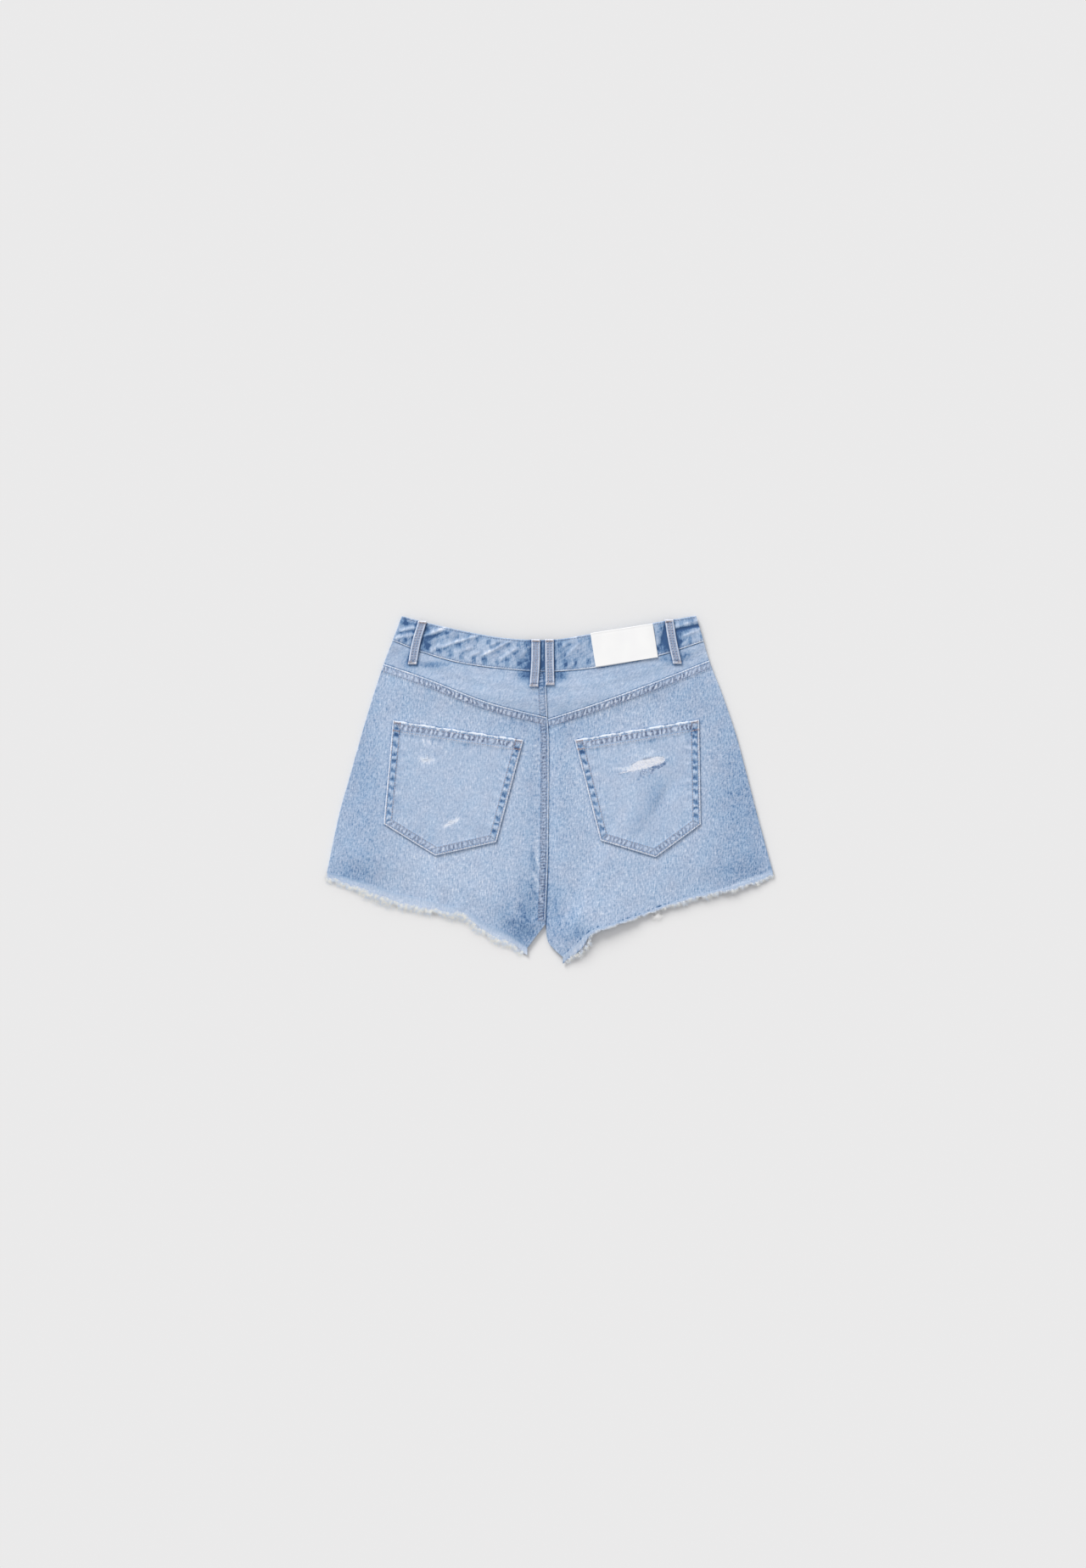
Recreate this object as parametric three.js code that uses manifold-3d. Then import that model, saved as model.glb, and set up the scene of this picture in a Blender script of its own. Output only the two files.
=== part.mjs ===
// Light-wash denim shorts lying flat on their front, with the back upwards.
// Each mesh is a piece that a maker cuts and sews on: a cloth wall of its own thickness, bent to the
// height it lies at. Millimetres: +X runs to the wearer's right, +Y to the waist, +Z up.
import * as THREE from "three";
import { mergeVertices } from "three/addons/utils/BufferGeometryUtils.js";
import Module from "manifold-3d";

const wasm = await Module();
wasm.setup();

// Cloth walls and the gaps between them
const DENIM = 1.5;
const BAND = 2.2; // waistband, cloth folded double
const POCKET = 1.3;
const LOOP = 2; // belt loop, cloth folded in three
const PATCH = 1;
const SEAM_GAP = 0.3; // between pieces that are sewn edge to edge
const LAYER_GAP = 0.4; // between cloth that lies on cloth
const SEAM_RISE = 0.8; // felled seam, four layers high
const HEM_RISE = 0.5; // folded edge of a pocket
const FELL_WIDTH = 10; // width of a felled seam
const AIR = 3; // air between front and back, away from the seams
const AIR_MOST = 3.4;

// The outline, in the plan. Rows run along each edge.
const SIDE_LEFT = [
  { y: 204, x: -175.5 },
  { y: 175, x: -186.5 },
  { y: 150, x: -196 },
  { y: 114, x: -208 },
  { y: 66, x: -222.5 },
  { y: 18, x: -236 },
  { y: -30, x: -249.5 },
  { y: -99, x: -264 },
];
const SIDE_RIGHT = [
  { y: 204.5, x: 171.5 },
  { y: 174, x: 180.5 },
  { y: 150, x: 187.5 },
  { y: 114, x: 201.5 },
  { y: 66, x: 218 },
  { y: 18, x: 231 },
  { y: -30, x: 243.5 },
  { y: -99, x: 262.5 },
];
const WAIST_EDGE = [
  { x: -175.5, y: 204 },
  { x: -145, y: 196 },
  { x: -105, y: 187 },
  { x: -65, y: 179.5 },
  { x: -25, y: 176 },
  { x: 7, y: 176.5 },
  { x: 45, y: 182.5 },
  { x: 85, y: 188.5 },
  { x: 127, y: 197 },
  { x: 171.5, y: 204.5 },
];
const BAND_SEAM = [
  { x: -186.5, y: 175 },
  { x: -154, y: 162 },
  { x: -107, y: 148.5 },
  { x: -50, y: 141 },
  { x: 0, y: 138.3 },
  { x: 54, y: 143 },
  { x: 127.5, y: 157 },
  { x: 180.5, y: 174 },
];
const YOKE_SEAM_LEFT = [
  { x: -196.8, y: 148 },
  { x: -145, y: 130 },
  { x: -83, y: 105.5 },
  { x: -47, y: 95 },
  { x: -3, y: 84.5 },
];
const YOKE_SEAM_RIGHT = [
  { x: -4, y: 82.5 },
  { x: 52, y: 100.5 },
  { x: 124, y: 127 },
  { x: 187, y: 152 },
];
const CENTRE_SEAM = [
  { y: 138, x: -6 },
  { y: 85, x: -3.5 },
  { y: 60, x: -2 },
  { y: -80, x: -3 },
  { y: -160, x: -6 },
];
const CROTCH_Y = -160;
const INSEAM_LEFT = [
  { y: CROTCH_Y, x: -6.3 },
  { y: -175, x: -18 },
  { y: -187, x: -27 },
];
const INSEAM_RIGHT = [
  { y: CROTCH_Y, x: -5.7 },
  { y: -180, x: -3 },
  { y: -190, x: 5 },
  { y: -198, x: 14 },
];
const HEM_LEFT = [
  { x: -264, y: -99 },
  { x: -223, y: -110 },
  { x: -185, y: -123 },
  { x: -140, y: -133 },
  { x: -121, y: -139 },
  { x: -106, y: -140.5 },
  { x: -75, y: -160 },
  { x: -49, y: -171 },
  { x: -27, y: -187 },
];
const HEM_RIGHT = [
  { x: 14, y: -198 },
  { x: 27, y: -187 },
  { x: 48, y: -168 },
  { x: 77, y: -159 },
  { x: 110, y: -147 },
  { x: 155, y: -131 },
  { x: 209, y: -117 },
  { x: 244, y: -106 },
  { x: 262.5, y: -99 },
];

// The front, which lies underneath: its waist dips lower and its hem is cut a little shorter
const FRONT_INSET = 0.8;
const FRONT_HEM_SHORTER = 3;
const FRONT_CENTRE_X = -4;
const BAND_SPLIT_X = 10; // where the two waistband ends meet, beside the button
const FRONT_WAIST_EDGE = [
  { x: -175, y: 203 },
  { x: -110, y: 182 },
  { x: -50, y: 168 },
  { x: 0, y: 165 },
  { x: 50, y: 168.5 },
  { x: 110, y: 184 },
  { x: 171, y: 203 },
];
const FRONT_BAND_SEAM = [
  { x: -186.5, y: 174.5 },
  { x: -120, y: 144 },
  { x: -55, y: 130 },
  { x: 0, y: 127 },
  { x: 55, y: 131 },
  { x: 120, y: 148 },
  { x: 180.5, y: 173.5 },
];
const SCOOP_START_X = 118; // front pocket opening, from the waistband to the side seam
const SCOOP_END_Y = 88;

// Where the front stands off the surface: over its loops and button, and in an oval bulge at each hem
const WAIST_RAMP = { rise: LOOP + SEAM_GAP, belowBand: 50, length: 28, fullTo: 112, fadeOver: 50 };
const HEM_LIFTS = [
  { x: -128, y: -152, reachX: 80, reachY: 62, rise: 3.4 },
  { x: 84, y: -172, reachX: 88, reachY: 66, rise: 4.2 },
  { x: 212, y: -128, reachX: 58, reachY: 48, rise: 2.4 },
  { x: -232, y: -116, reachX: 50, reachY: 40, rise: 1.6 },
];

// Where the air between front and back gives out
const AIR_FADE = { fromSide: 45, belowBand: 40, intoBand: 5, leftUnderBand: 0.2 };
const VALLEY = { depth: 0.45, width: 9, crotchDepth: 1, crotchWidth: 20, fromY: -40, overY: 120 };

// The largest folds of the back, each a soft ridge or trough along a line
const FOLDS = [
  { x1: -22, y1: -148, x2: -78, y2: -62, width: 15, rise: -1.1 },
  { x1: -52, y1: -158, x2: -118, y2: -50, width: 19, rise: 1.1 },
  { x1: 12, y1: -152, x2: 52, y2: -66, width: 15, rise: -0.9 },
  { x1: 46, y1: -150, x2: 98, y2: -48, width: 18, rise: 1.0 },
  { x1: 146, y1: 12, x2: 112, y2: -48, width: 13, rise: -0.8 },
  { x1: -156, y1: 44, x2: -112, y2: -34, width: 16, rise: 0.7 },
  { x1: -176, y1: 104, x2: -206, y2: 8, width: 16, rise: -0.7 },
  { x1: 190, y1: 96, x2: 214, y2: -12, width: 15, rise: -0.8 },
  { x1: -196, y1: -52, x2: -214, y2: -116, width: 15, rise: 0.8 },
  { x1: 178, y1: -64, x2: 196, y2: -122, width: 14, rise: 0.9 },
  { x1: -60, y1: 118, x2: 46, y2: 112, width: 14, rise: 0.6 },
  { x1: -158, y1: -118, x2: -150, y2: -64, width: 14, rise: -0.8 },
];

// Pieces on the outside: corners and centrelines in the plan
const POCKET_LEFT = {
  topLeft: { x: -186, y: 81 },
  topRight: { x: -32, y: 58 },
  lowRight: { x: -64, y: -62.5 },
  point: { x: -136, y: -78.6 },
  lowLeft: { x: -197, y: -41 },
};
const POCKET_RIGHT = {
  topLeft: { x: 28, y: 58 },
  topRight: { x: 175, y: 82 },
  lowRight: { x: 177, y: -41.5 },
  point: { x: 124, y: -80.4 },
  lowLeft: { x: 58.5, y: -60.5 },
};
const RIP = { x: 115, y: 30, halfLength: 20, halfHeight: 5.5, tilt: 0.24, steps: 18, ragged: 0.22 };
const PATCH_PLATE = { x: 86.7, y: 169.5, width: 74.5, height: 40.5, tilt: 0.155 };
const LOOP_WIDTH = 10.5;
const BACK_LOOPS = [
  { name: "belt_loop_back_left", top: -151, middle: -158.5, low: -163.2, end: 147 },
  { name: "belt_loop_back_centre_left", top: -17.4, middle: -17.8, low: -19.8, end: 120.5 },
  { name: "belt_loop_back_centre_right", top: -1.4, middle: -1.2, low: -0.6, end: 122.5 },
  { name: "belt_loop_back_right", top: 139.5, middle: 143.8, low: 149.6, end: 147.5 },
];
const FRONT_LOOPS = [
  { name: "belt_loop_front_left", top: -88, middle: -89, low: -90, end: 118 },
  { name: "belt_loop_front_right", top: 84, middle: 85, low: 86, end: 120 },
];
const BUTTON = { x: -4, y: 146, radius: 8.5, thickness: 2 };

// Frayed hems: a strip of loose weft along the cut edge, with warp ends standing out of it
const STRIP_WIDTH = 1.6;
const STRIP_THICKNESS = 0.9;
const STRAND_ROOT = 1.3;
const STRAND_LONG = 7.5;
const STRAND_SHORT = 3.5;
const STRAND_FLOOR = 0.3; // lowest height of a strand's end
const STRAND_LEAN = 0.9; // most that strands stand apart in direction, in radians
const BACK_PITCH = 5;
const FRONT_PITCH = 8;
const BACK_DROP = 0.9; // most that a strand's end comes down
const FRONT_DROP = 3;
const STRIP_END = 0.1; // share of the first and last grid step left free

// Small helpers
const mix = (a, b, t) => a + (b - a) * t;
const smooth = (t) => THREE.MathUtils.smoothstep(t, 0, 1);
const bell = (d) => Math.exp(-d * d);
const chance = (n) => {
  const wave = Math.sin(n * 12.9898) * 43758.5453;
  return wave - Math.floor(wave);
};
const evenly = (from, to, steps) => Array.from({ length: steps + 1 }, (_, i) => mix(from, to, i / steps));

// A smooth curve through the rows of a table: column `to` as a function of column `from`.
function through(rows, from, to) {
  const knots = [...rows].sort((p, q) => p[from] - q[from]);
  const last = knots.length - 1;
  const slope = (i) => {
    const before = knots[Math.max(i - 1, 0)];
    const after = knots[Math.min(i + 1, last)];
    return (after[to] - before[to]) / (after[from] - before[from]);
  };
  return (at) => {
    if (at <= knots[0][from]) return knots[0][to] + slope(0) * (at - knots[0][from]);
    if (at >= knots[last][from]) return knots[last][to] + slope(last) * (at - knots[last][from]);
    const i = knots.findIndex((k) => k[from] > at) - 1;
    const p = knots[i];
    const q = knots[i + 1];
    const span = q[from] - p[from];
    const t = (at - p[from]) / span;
    const lean = slope(i) * span * t * (1 - t) * (1 - t) - slope(i + 1) * span * t * t * (1 - t);
    return mix(p[to], q[to], t * t * (3 - 2 * t)) + lean;
  };
}

const sideLeft = through(SIDE_LEFT, "y", "x");
const sideRight = through(SIDE_RIGHT, "y", "x");
const waistEdge = through(WAIST_EDGE, "x", "y");
const bandSeam = through(BAND_SEAM, "x", "y");
const yokeLeft = through(YOKE_SEAM_LEFT, "x", "y");
const yokeRight = through(YOKE_SEAM_RIGHT, "x", "y");
const centreSeam = through(CENTRE_SEAM, "y", "x");
const inseamLeft = through(INSEAM_LEFT, "y", "x");
const inseamRight = through(INSEAM_RIGHT, "y", "x");
const hemLeft = through(HEM_LEFT, "x", "y");
const hemRight = through(HEM_RIGHT, "x", "y");
const frontWaistEdge = through(FRONT_WAIST_EDGE, "x", "y");
const frontBandSeam = through(FRONT_BAND_SEAM, "x", "y");

// Inner edge of each leg: the centre seam above the crotch and the inseam below it
const innerLeft = (y) => (y < CROTCH_Y ? inseamLeft(y) : centreSeam(y) - SEAM_GAP / 2);
const innerRight = (y) => (y < CROTCH_Y ? inseamRight(y) : centreSeam(y) + SEAM_GAP / 2);

// How high the front's outer side stands above the surface
function liftAt(x, y) {
  const upWaist = smooth((y - frontBandSeam(x) + WAIST_RAMP.belowBand) / WAIST_RAMP.length);
  const acrossWaist = 1 - smooth((Math.abs(x) - WAIST_RAMP.fullTo) / WAIST_RAMP.fadeOver);
  const hems = HEM_LIFTS.map((h) => h.rise * smooth(1 - Math.hypot((x - h.x) / h.reachX, (y - h.y) / h.reachY)));
  return WAIST_RAMP.rise * upWaist * acrossWaist + hems.reduce((sum, rise) => sum + rise, 0);
}

function foldsAt(x, y) {
  let sum = 0;
  for (const f of FOLDS) {
    const dx = f.x2 - f.x1;
    const dy = f.y2 - f.y1;
    const along = THREE.MathUtils.clamp(((x - f.x1) * dx + (y - f.y1) * dy) / (dx * dx + dy * dy), 0, 1);
    sum += f.rise * bell(Math.hypot(x - f.x1 - along * dx, y - f.y1 - along * dy) / f.width);
  }
  return sum;
}

// Air between front and back: none at the side seams and inner legs, little under the waistband
function airAt(x, y) {
  const fromSide = smooth(Math.min(x - sideLeft(y), sideRight(y) - x) / AIR_FADE.fromSide);
  const upBand = (y - bandSeam(x) + AIR_FADE.belowBand) / (AIR_FADE.belowBand + AIR_FADE.intoBand);
  const underBand = mix(1, AIR_FADE.leftUnderBand, smooth(upBand));
  const crotchward = smooth((VALLEY.fromY - y) / VALLEY.overY);
  const legsMeet = (inseamLeft(y) + inseamRight(y)) / 2;
  const legEdge = x < legsMeet ? inseamLeft(y) : inseamRight(y);
  const fromInner = x - (y > CROTCH_Y ? centreSeam(y) : legEdge);
  const depth = mix(VALLEY.depth, VALLEY.crotchDepth, crotchward);
  const valley = 1 - depth * bell(fromInner / mix(VALLEY.width, VALLEY.crotchWidth, crotchward));
  return THREE.MathUtils.clamp((AIR * underBand + foldsAt(x, y)) * fromSide * valley, 0, AIR_MOST);
}

// Heights of the layers, from the surface up
const BAND_STEP = { belowSeam: 14, length: 10 }; // where the back rises over the front waistband
const frontWall = (x, y) => {
  const intoBand = (y - frontBandSeam(x) + BAND_STEP.belowSeam) / BAND_STEP.length;
  return mix(DENIM, BAND, smooth(intoBand));
};
const backUnder = (x, y) => liftAt(x, y) + frontWall(x, y) + LAYER_GAP + airAt(x, y);
const backOver = (x, y) => backUnder(x, y) + DENIM;
const backFoot = (x, y) => backUnder(x, y) + 0.3;
const bandOver = (x, y) => backUnder(x, y) + BAND;

// A four-sided panel in the plan, from its four edges. s runs left to right, t from bottom to top.
function panel(left, right, bottom, top) {
  const [a, b, c, d] = [left(0), right(0), left(1), right(1)];
  const blend = (key, s, t) => {
    const edges = mix(bottom(s)[key], top(s)[key], t) + mix(left(t)[key], right(t)[key], s);
    return edges - mix(mix(a[key], b[key], s), mix(c[key], d[key], s), t);
  };
  return (s, t) => ({ x: blend("x", s, t), y: blend("y", s, t) });
}

// A closed cloth wall over a panel, with grid lines at the given shares of s and t.
function wall(plan, sLines, tLines, under, over) {
  const columns = sLines.length;
  const rows = tLines.length;
  const points = [];
  for (const height of [under, over])
    for (const t of tLines)
      for (const s of sLines) {
        const { x, y } = plan(s, t);
        points.push(x, y, height(x, y, s, t));
      }
  const lower = (i, j) => j * columns + i;
  const upper = (i, j) => columns * rows + lower(i, j);
  const faces = [];
  const quad = (a, b, c, d) => faces.push(a, b, c, a, c, d);
  for (let j = 0; j < rows - 1; j++)
    for (let i = 0; i < columns - 1; i++) {
      quad(upper(i, j), upper(i + 1, j), upper(i + 1, j + 1), upper(i, j + 1));
      quad(lower(i, j), lower(i, j + 1), lower(i + 1, j + 1), lower(i + 1, j));
    }
  for (let i = 0; i < columns - 1; i++) {
    quad(lower(i, 0), lower(i + 1, 0), upper(i + 1, 0), upper(i, 0));
    quad(lower(i + 1, rows - 1), lower(i, rows - 1), upper(i, rows - 1), upper(i + 1, rows - 1));
  }
  for (let j = 0; j < rows - 1; j++) {
    quad(lower(0, j + 1), lower(0, j), upper(0, j), upper(0, j + 1));
    quad(lower(columns - 1, j), lower(columns - 1, j + 1), upper(columns - 1, j + 1), upper(columns - 1, j));
  }
  return closedGeometry(points, faces);
}

function closedGeometry(points, faces) {
  const geometry = new THREE.BufferGeometry();
  geometry.setAttribute("position", new THREE.Float32BufferAttribute(points, 3));
  geometry.setIndex(faces);
  return geometry;
}

const shorts = new THREE.Group();
shorts.name = "denim_shorts";

function add(name, geometry, material) {
  const mesh = new THREE.Mesh(geometry, material);
  mesh.name = name;
  shorts.add(mesh);
}

const denim = new THREE.MeshStandardMaterial({ color: 0xaabbd5, roughness: 0.92, metalness: 0 });
const washedDenim = new THREE.MeshStandardMaterial({ color: 0xb0c0d8, roughness: 0.92, metalness: 0 });
const bandDenim = new THREE.MeshStandardMaterial({ color: 0x9fb4d0, roughness: 0.92, metalness: 0 });
const frayedThread = new THREE.MeshStandardMaterial({ color: 0xdfe4ec, roughness: 0.95, metalness: 0 });
const coatedCard = new THREE.MeshStandardMaterial({ color: 0xf5f5f4, roughness: 0.55, metalness: 0 });
const nickel = new THREE.MeshStandardMaterial({ color: 0xb9babc, roughness: 0.35, metalness: 1 });

// A leg's edge by height, with its kink at the crotch on a grid line
const INSEAM_SHARE = 0.125;
const climb = (t, low, high) =>
  t < INSEAM_SHARE
    ? mix(low, CROTCH_Y, t / INSEAM_SHARE)
    : mix(CROTCH_Y, high, (t - INSEAM_SHARE) / (1 - INSEAM_SHARE));
const edgeByY = (edge, y) => ({ x: edge(y), y });
const edgeByX = (edge, x, shift = 0) => ({ x, y: edge(x) + shift });

// Grid lines of a leg: one line of the grid sits on each side of the felled seams' edges
const FELL_EDGE = 1.5;
function linesWithFell(steps, length) {
  const flat = 1 - (FELL_WIDTH + FELL_EDGE) / length;
  return [...evenly(0, flat, steps), 1 - FELL_WIDTH / length, 1];
}
const BACK_STEPS = 18;
const LEG_WIDTH = 215;
const LEG_HEIGHT = 262;
const onTopFell = (t) => t > 1 - FELL_WIDTH / LEG_HEIGHT - 1e-6;
const legLines = [...evenly(0, INSEAM_SHARE, 3), ...linesWithFell(BACK_STEPS, LEG_HEIGHT).filter((t) => t > 0.16)];

// Back legs. The left one is folded over the right at the centre seam, and both over the yoke.
const backLeft = panel(
  (t) => edgeByY(sideLeft, mix(-99, yokeLeft(-196.8) - SEAM_GAP / 2, t)),
  (t) => edgeByY(innerLeft, climb(t, -187, yokeLeft(-3.5) - SEAM_GAP / 2)),
  (s) => edgeByX(hemLeft, mix(-264, -27, s)),
  (s) => edgeByX(yokeLeft, mix(-196.8, -3.7, s), -SEAM_GAP / 2),
);
const onCentreFell = (s) => s > 1 - FELL_WIDTH / LEG_WIDTH - 1e-6;
const leftLines = linesWithFell(BACK_STEPS, LEG_WIDTH);
const leftSeams = (x, y, s, t) =>
  backOver(x, y) + (onTopFell(t) || (onCentreFell(s) && t > INSEAM_SHARE) ? SEAM_RISE : 0);
add("back_panel_left", wall(backLeft, leftLines, legLines, backUnder, leftSeams), denim);

const backRight = panel(
  (t) => edgeByY(innerRight, climb(t, -198, yokeRight(-3.5) - SEAM_GAP / 2)),
  (t) => edgeByY(sideRight, mix(-99, yokeRight(187) - SEAM_GAP / 2, t)),
  (s) => edgeByX(hemRight, mix(14, 262.5, s)),
  (s) => edgeByX(yokeRight, mix(-3.3, 187, s), -SEAM_GAP / 2),
);
const rightLines = evenly(0, 1, BACK_STEPS + 2);
const rightSeams = (x, y, s, t) => backOver(x, y) + (onTopFell(t) ? SEAM_RISE : 0);
add("back_panel_right", wall(backRight, rightLines, legLines, backUnder, rightSeams), denim);

// Yoke, in two halves between the waistband and the legs
const yokeTop = (x) => bandSeam(x) - SEAM_GAP / 2;
const YOKE_COLUMNS = 14;
const YOKE_ROWS = 4;
const yokeHalfLeft = panel(
  (t) => edgeByY(sideLeft, mix(yokeLeft(-196.8) + SEAM_GAP / 2, yokeTop(-186.5), t)),
  (t) => edgeByY(innerLeft, mix(yokeLeft(-3.5) + SEAM_GAP / 2, yokeTop(-6), t)),
  (s) => edgeByX(yokeLeft, mix(-196.8, -3.7, s), SEAM_GAP / 2),
  (s) => edgeByX(yokeTop, mix(-186.5, -6.2, s)),
);
const yokeHalfRight = panel(
  (t) => edgeByY(innerRight, mix(yokeRight(-3.5) + SEAM_GAP / 2, yokeTop(-6), t)),
  (t) => edgeByY(sideRight, mix(yokeRight(187) + SEAM_GAP / 2, yokeTop(180.5), t)),
  (s) => edgeByX(yokeRight, mix(-3.3, 187, s), SEAM_GAP / 2),
  (s) => edgeByX(yokeTop, mix(-5.8, 180.5, s)),
);
for (const [name, plan] of Object.entries({ yoke_left: yokeHalfLeft, yoke_right: yokeHalfRight }))
  add(name, wall(plan, evenly(0, 1, YOKE_COLUMNS), evenly(0, 1, YOKE_ROWS), backUnder, backOver), denim);

// Back waistband, one strip from side seam to side seam
const bandFoot = (x) => bandSeam(x) + SEAM_GAP / 2;
const backBand = panel(
  (t) => edgeByY(sideLeft, mix(bandFoot(-186.5), waistEdge(-175.5), t)),
  (t) => edgeByY(sideRight, mix(bandFoot(180.5), waistEdge(171.5), t)),
  (s) => edgeByX(bandFoot, mix(-186.5, 180.5, s)),
  (s) => edgeByX(waistEdge, mix(-175.5, 171.5, s)),
);
add("waistband_back", wall(backBand, evenly(0, 1, 30), evenly(0, 1, 3), backUnder, bandOver), bandDenim);

// Front legs, flat on the surface, with the pocket opening scooped out of the top outer corner
const frontOver = (x, y) => liftAt(x, y) + DENIM;
const frontFoot = (x, y) => liftAt(x, y) + 0.3;
const frontBandOver = (x, y) => liftAt(x, y) + BAND;
const insetLeft = (y) => sideLeft(y) + FRONT_INSET;
const insetRight = (y) => sideRight(y) - FRONT_INSET;
const FRONT_STEPS = 15;

// Edge of a front pocket opening. turn runs from 0 at the waistband to 1 at the side seam.
function scoop(side, inset, shift) {
  const start = edgeByX(frontBandSeam, side * SCOOP_START_X - side * shift, -SEAM_GAP / 2);
  const end = edgeByY(inset, SCOOP_END_Y - shift);
  return (turn) => ({
    x: mix(start.x, end.x, 1 - Math.cos((turn * Math.PI) / 2)),
    y: mix(start.y, end.y, Math.sin((turn * Math.PI) / 2)),
  });
}

// The top edge of a front leg, from the side seam over the scoop to the centre
const SCOOP_SHARE = 0.6;
function frontTop(side, inset, centreX) {
  const opening = scoop(side, inset, SEAM_GAP / 2);
  const start = opening(0);
  return (share) =>
    share < SCOOP_SHARE
      ? opening(1 - share / SCOOP_SHARE)
      : edgeByX(frontBandSeam, mix(start.x, centreX, (share - SCOOP_SHARE) / (1 - SCOOP_SHARE)), -SEAM_GAP / 2);
}
const frontInner = (y, gap) => (y < CROTCH_Y ? null : FRONT_CENTRE_X + gap);
const frontInnerLeft = (y) => frontInner(y, -SEAM_GAP / 2) ?? inseamLeft(y) - FRONT_INSET;
const frontInnerRight = (y) => frontInner(y, SEAM_GAP / 2) ?? inseamRight(y) + FRONT_INSET;
const frontTopLeft = frontTop(-1, insetLeft, FRONT_CENTRE_X - SEAM_GAP / 2);
const frontTopRight = frontTop(1, insetRight, FRONT_CENTRE_X + SEAM_GAP / 2);
const frontLeft = panel(
  (t) => edgeByY(insetLeft, mix(-99 + FRONT_HEM_SHORTER, SCOOP_END_Y - SEAM_GAP / 2, t)),
  (t) => edgeByY(frontInnerLeft, climb(t, -184, frontBandSeam(FRONT_CENTRE_X) - SEAM_GAP / 2)),
  (s) => edgeByX(hemLeft, mix(-264 + FRONT_INSET, -27, s), FRONT_HEM_SHORTER),
  frontTopLeft,
);
const frontRight = panel(
  (t) => edgeByY(frontInnerRight, climb(t, -194, frontBandSeam(FRONT_CENTRE_X) - SEAM_GAP / 2)),
  (t) => edgeByY(insetRight, mix(-99 + FRONT_HEM_SHORTER, SCOOP_END_Y - SEAM_GAP / 2, t)),
  (s) => edgeByX(hemRight, mix(14 + FRONT_INSET, 262.5 - FRONT_INSET, s), FRONT_HEM_SHORTER),
  (s) => frontTopRight(1 - s),
);
const frontColumns = evenly(0, 1, FRONT_STEPS);
const frontLines = [...evenly(0, INSEAM_SHARE, 2), ...evenly(INSEAM_SHARE, 1, FRONT_STEPS - 2).slice(1)];
for (const [name, plan] of Object.entries({ front_panel_left: frontLeft, front_panel_right: frontRight }))
  add(name, wall(plan, frontColumns, frontLines, liftAt, frontOver), denim);

// Facings that fill the front pocket openings, up to the side seam and the waistband
function facing(side, inset) {
  const opening = scoop(side, inset, -SEAM_GAP / 2);
  const bandX = side < 0 ? -186 : 180;
  const outer = (t) => edgeByY(inset, mix(opening(1).y, frontBandSeam(bandX) - SEAM_GAP / 2, t));
  const innerEdge = (t) => opening((1 - t) / 2);
  const foot = (share) => opening(1 - share / 2);
  const head = (share) =>
    edgeByX(frontBandSeam, mix(outer(1).x, opening(0).x, share), -SEAM_GAP / 2);
  return side < 0
    ? panel(outer, innerEdge, foot, head)
    : panel(innerEdge, outer, (s) => foot(1 - s), (s) => head(1 - s));
}
add(
  "front_pocket_facing_left",
  wall(facing(-1, insetLeft), evenly(0, 1, 6), evenly(0, 1, 6), liftAt, frontOver),
  denim,
);
add(
  "front_pocket_facing_right",
  wall(facing(1, insetRight), evenly(0, 1, 6), evenly(0, 1, 6), liftAt, frontOver),
  denim,
);

// Front waistband in two lengths, which meet beside the button
const frontBandFoot = (x) => frontBandSeam(x) + SEAM_GAP / 2;
const frontBandHalf = (fromX, toX, fromTop, toTop) =>
  panel(
    (t) => ({ x: mix(fromX, fromTop, t), y: mix(frontBandFoot(fromX), frontWaistEdge(fromTop), t) }),
    (t) => ({ x: mix(toX, toTop, t), y: mix(frontBandFoot(toX), frontWaistEdge(toTop), t) }),
    (s) => edgeByX(frontBandFoot, mix(fromX, toX, s)),
    (s) => edgeByX(frontWaistEdge, mix(fromTop, toTop, s)),
  );
const bandEnd = BAND_SPLIT_X - SEAM_GAP / 2;
const frontBands = {
  waistband_front_left: frontBandHalf(-185.7, bandEnd, -174.7, bandEnd),
  waistband_front_right: frontBandHalf(bandEnd + SEAM_GAP, 179.7, bandEnd + SEAM_GAP, 170.7),
};
for (const [name, plan] of Object.entries(frontBands))
  add(name, wall(plan, evenly(0, 1, 16), evenly(0, 1, 3), liftAt, frontBandOver), bandDenim);

// Patch pockets on the back, with their folded edges raised and the hem across the top
const POCKET_FOLD = 10;
const POCKET_HEM = 14;
const POCKET_WIDTH = 150;
const POCKET_HEIGHT = 135;
const foldLine = POCKET_FOLD / POCKET_WIDTH;
const footLine = POCKET_FOLD / POCKET_HEIGHT;
const hemLine = 1 - POCKET_HEM / POCKET_HEIGHT;
const FOLD_EDGE = 0.012;
const pocketColumns = [0, foldLine, ...evenly(foldLine + FOLD_EDGE, 1 - foldLine - FOLD_EDGE, 10), 1 - foldLine, 1];
const pocketRows = [0, footLine, ...evenly(footLine + FOLD_EDGE, hemLine - FOLD_EDGE, 8), hemLine, 1];
const between = (p, q) => (t) => ({ x: mix(p.x, q.x, t), y: mix(p.y, q.y, t) });
const pocketPlan = (p) => {
  const footLeft = between(p.lowLeft, p.point);
  const footRight = between(p.point, p.lowRight);
  return panel(
    between(p.lowLeft, p.topLeft),
    between(p.lowRight, p.topRight),
    (s) => (s < 0.5 ? footLeft(2 * s) : footRight(2 * s - 1)),
    between(p.topLeft, p.topRight),
  );
};
const onFold = (s, t) => Math.min(s, 1 - s) <= foldLine + 1e-6 || t <= footLine + 1e-6 || t >= hemLine - 1e-6;
const pocketUnder = (x, y) => backOver(x, y) + LAYER_GAP;
const pocketOver = (x, y, s, t) => pocketUnder(x, y) + POCKET + (onFold(s, t) ? HEM_RISE : 0);
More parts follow.
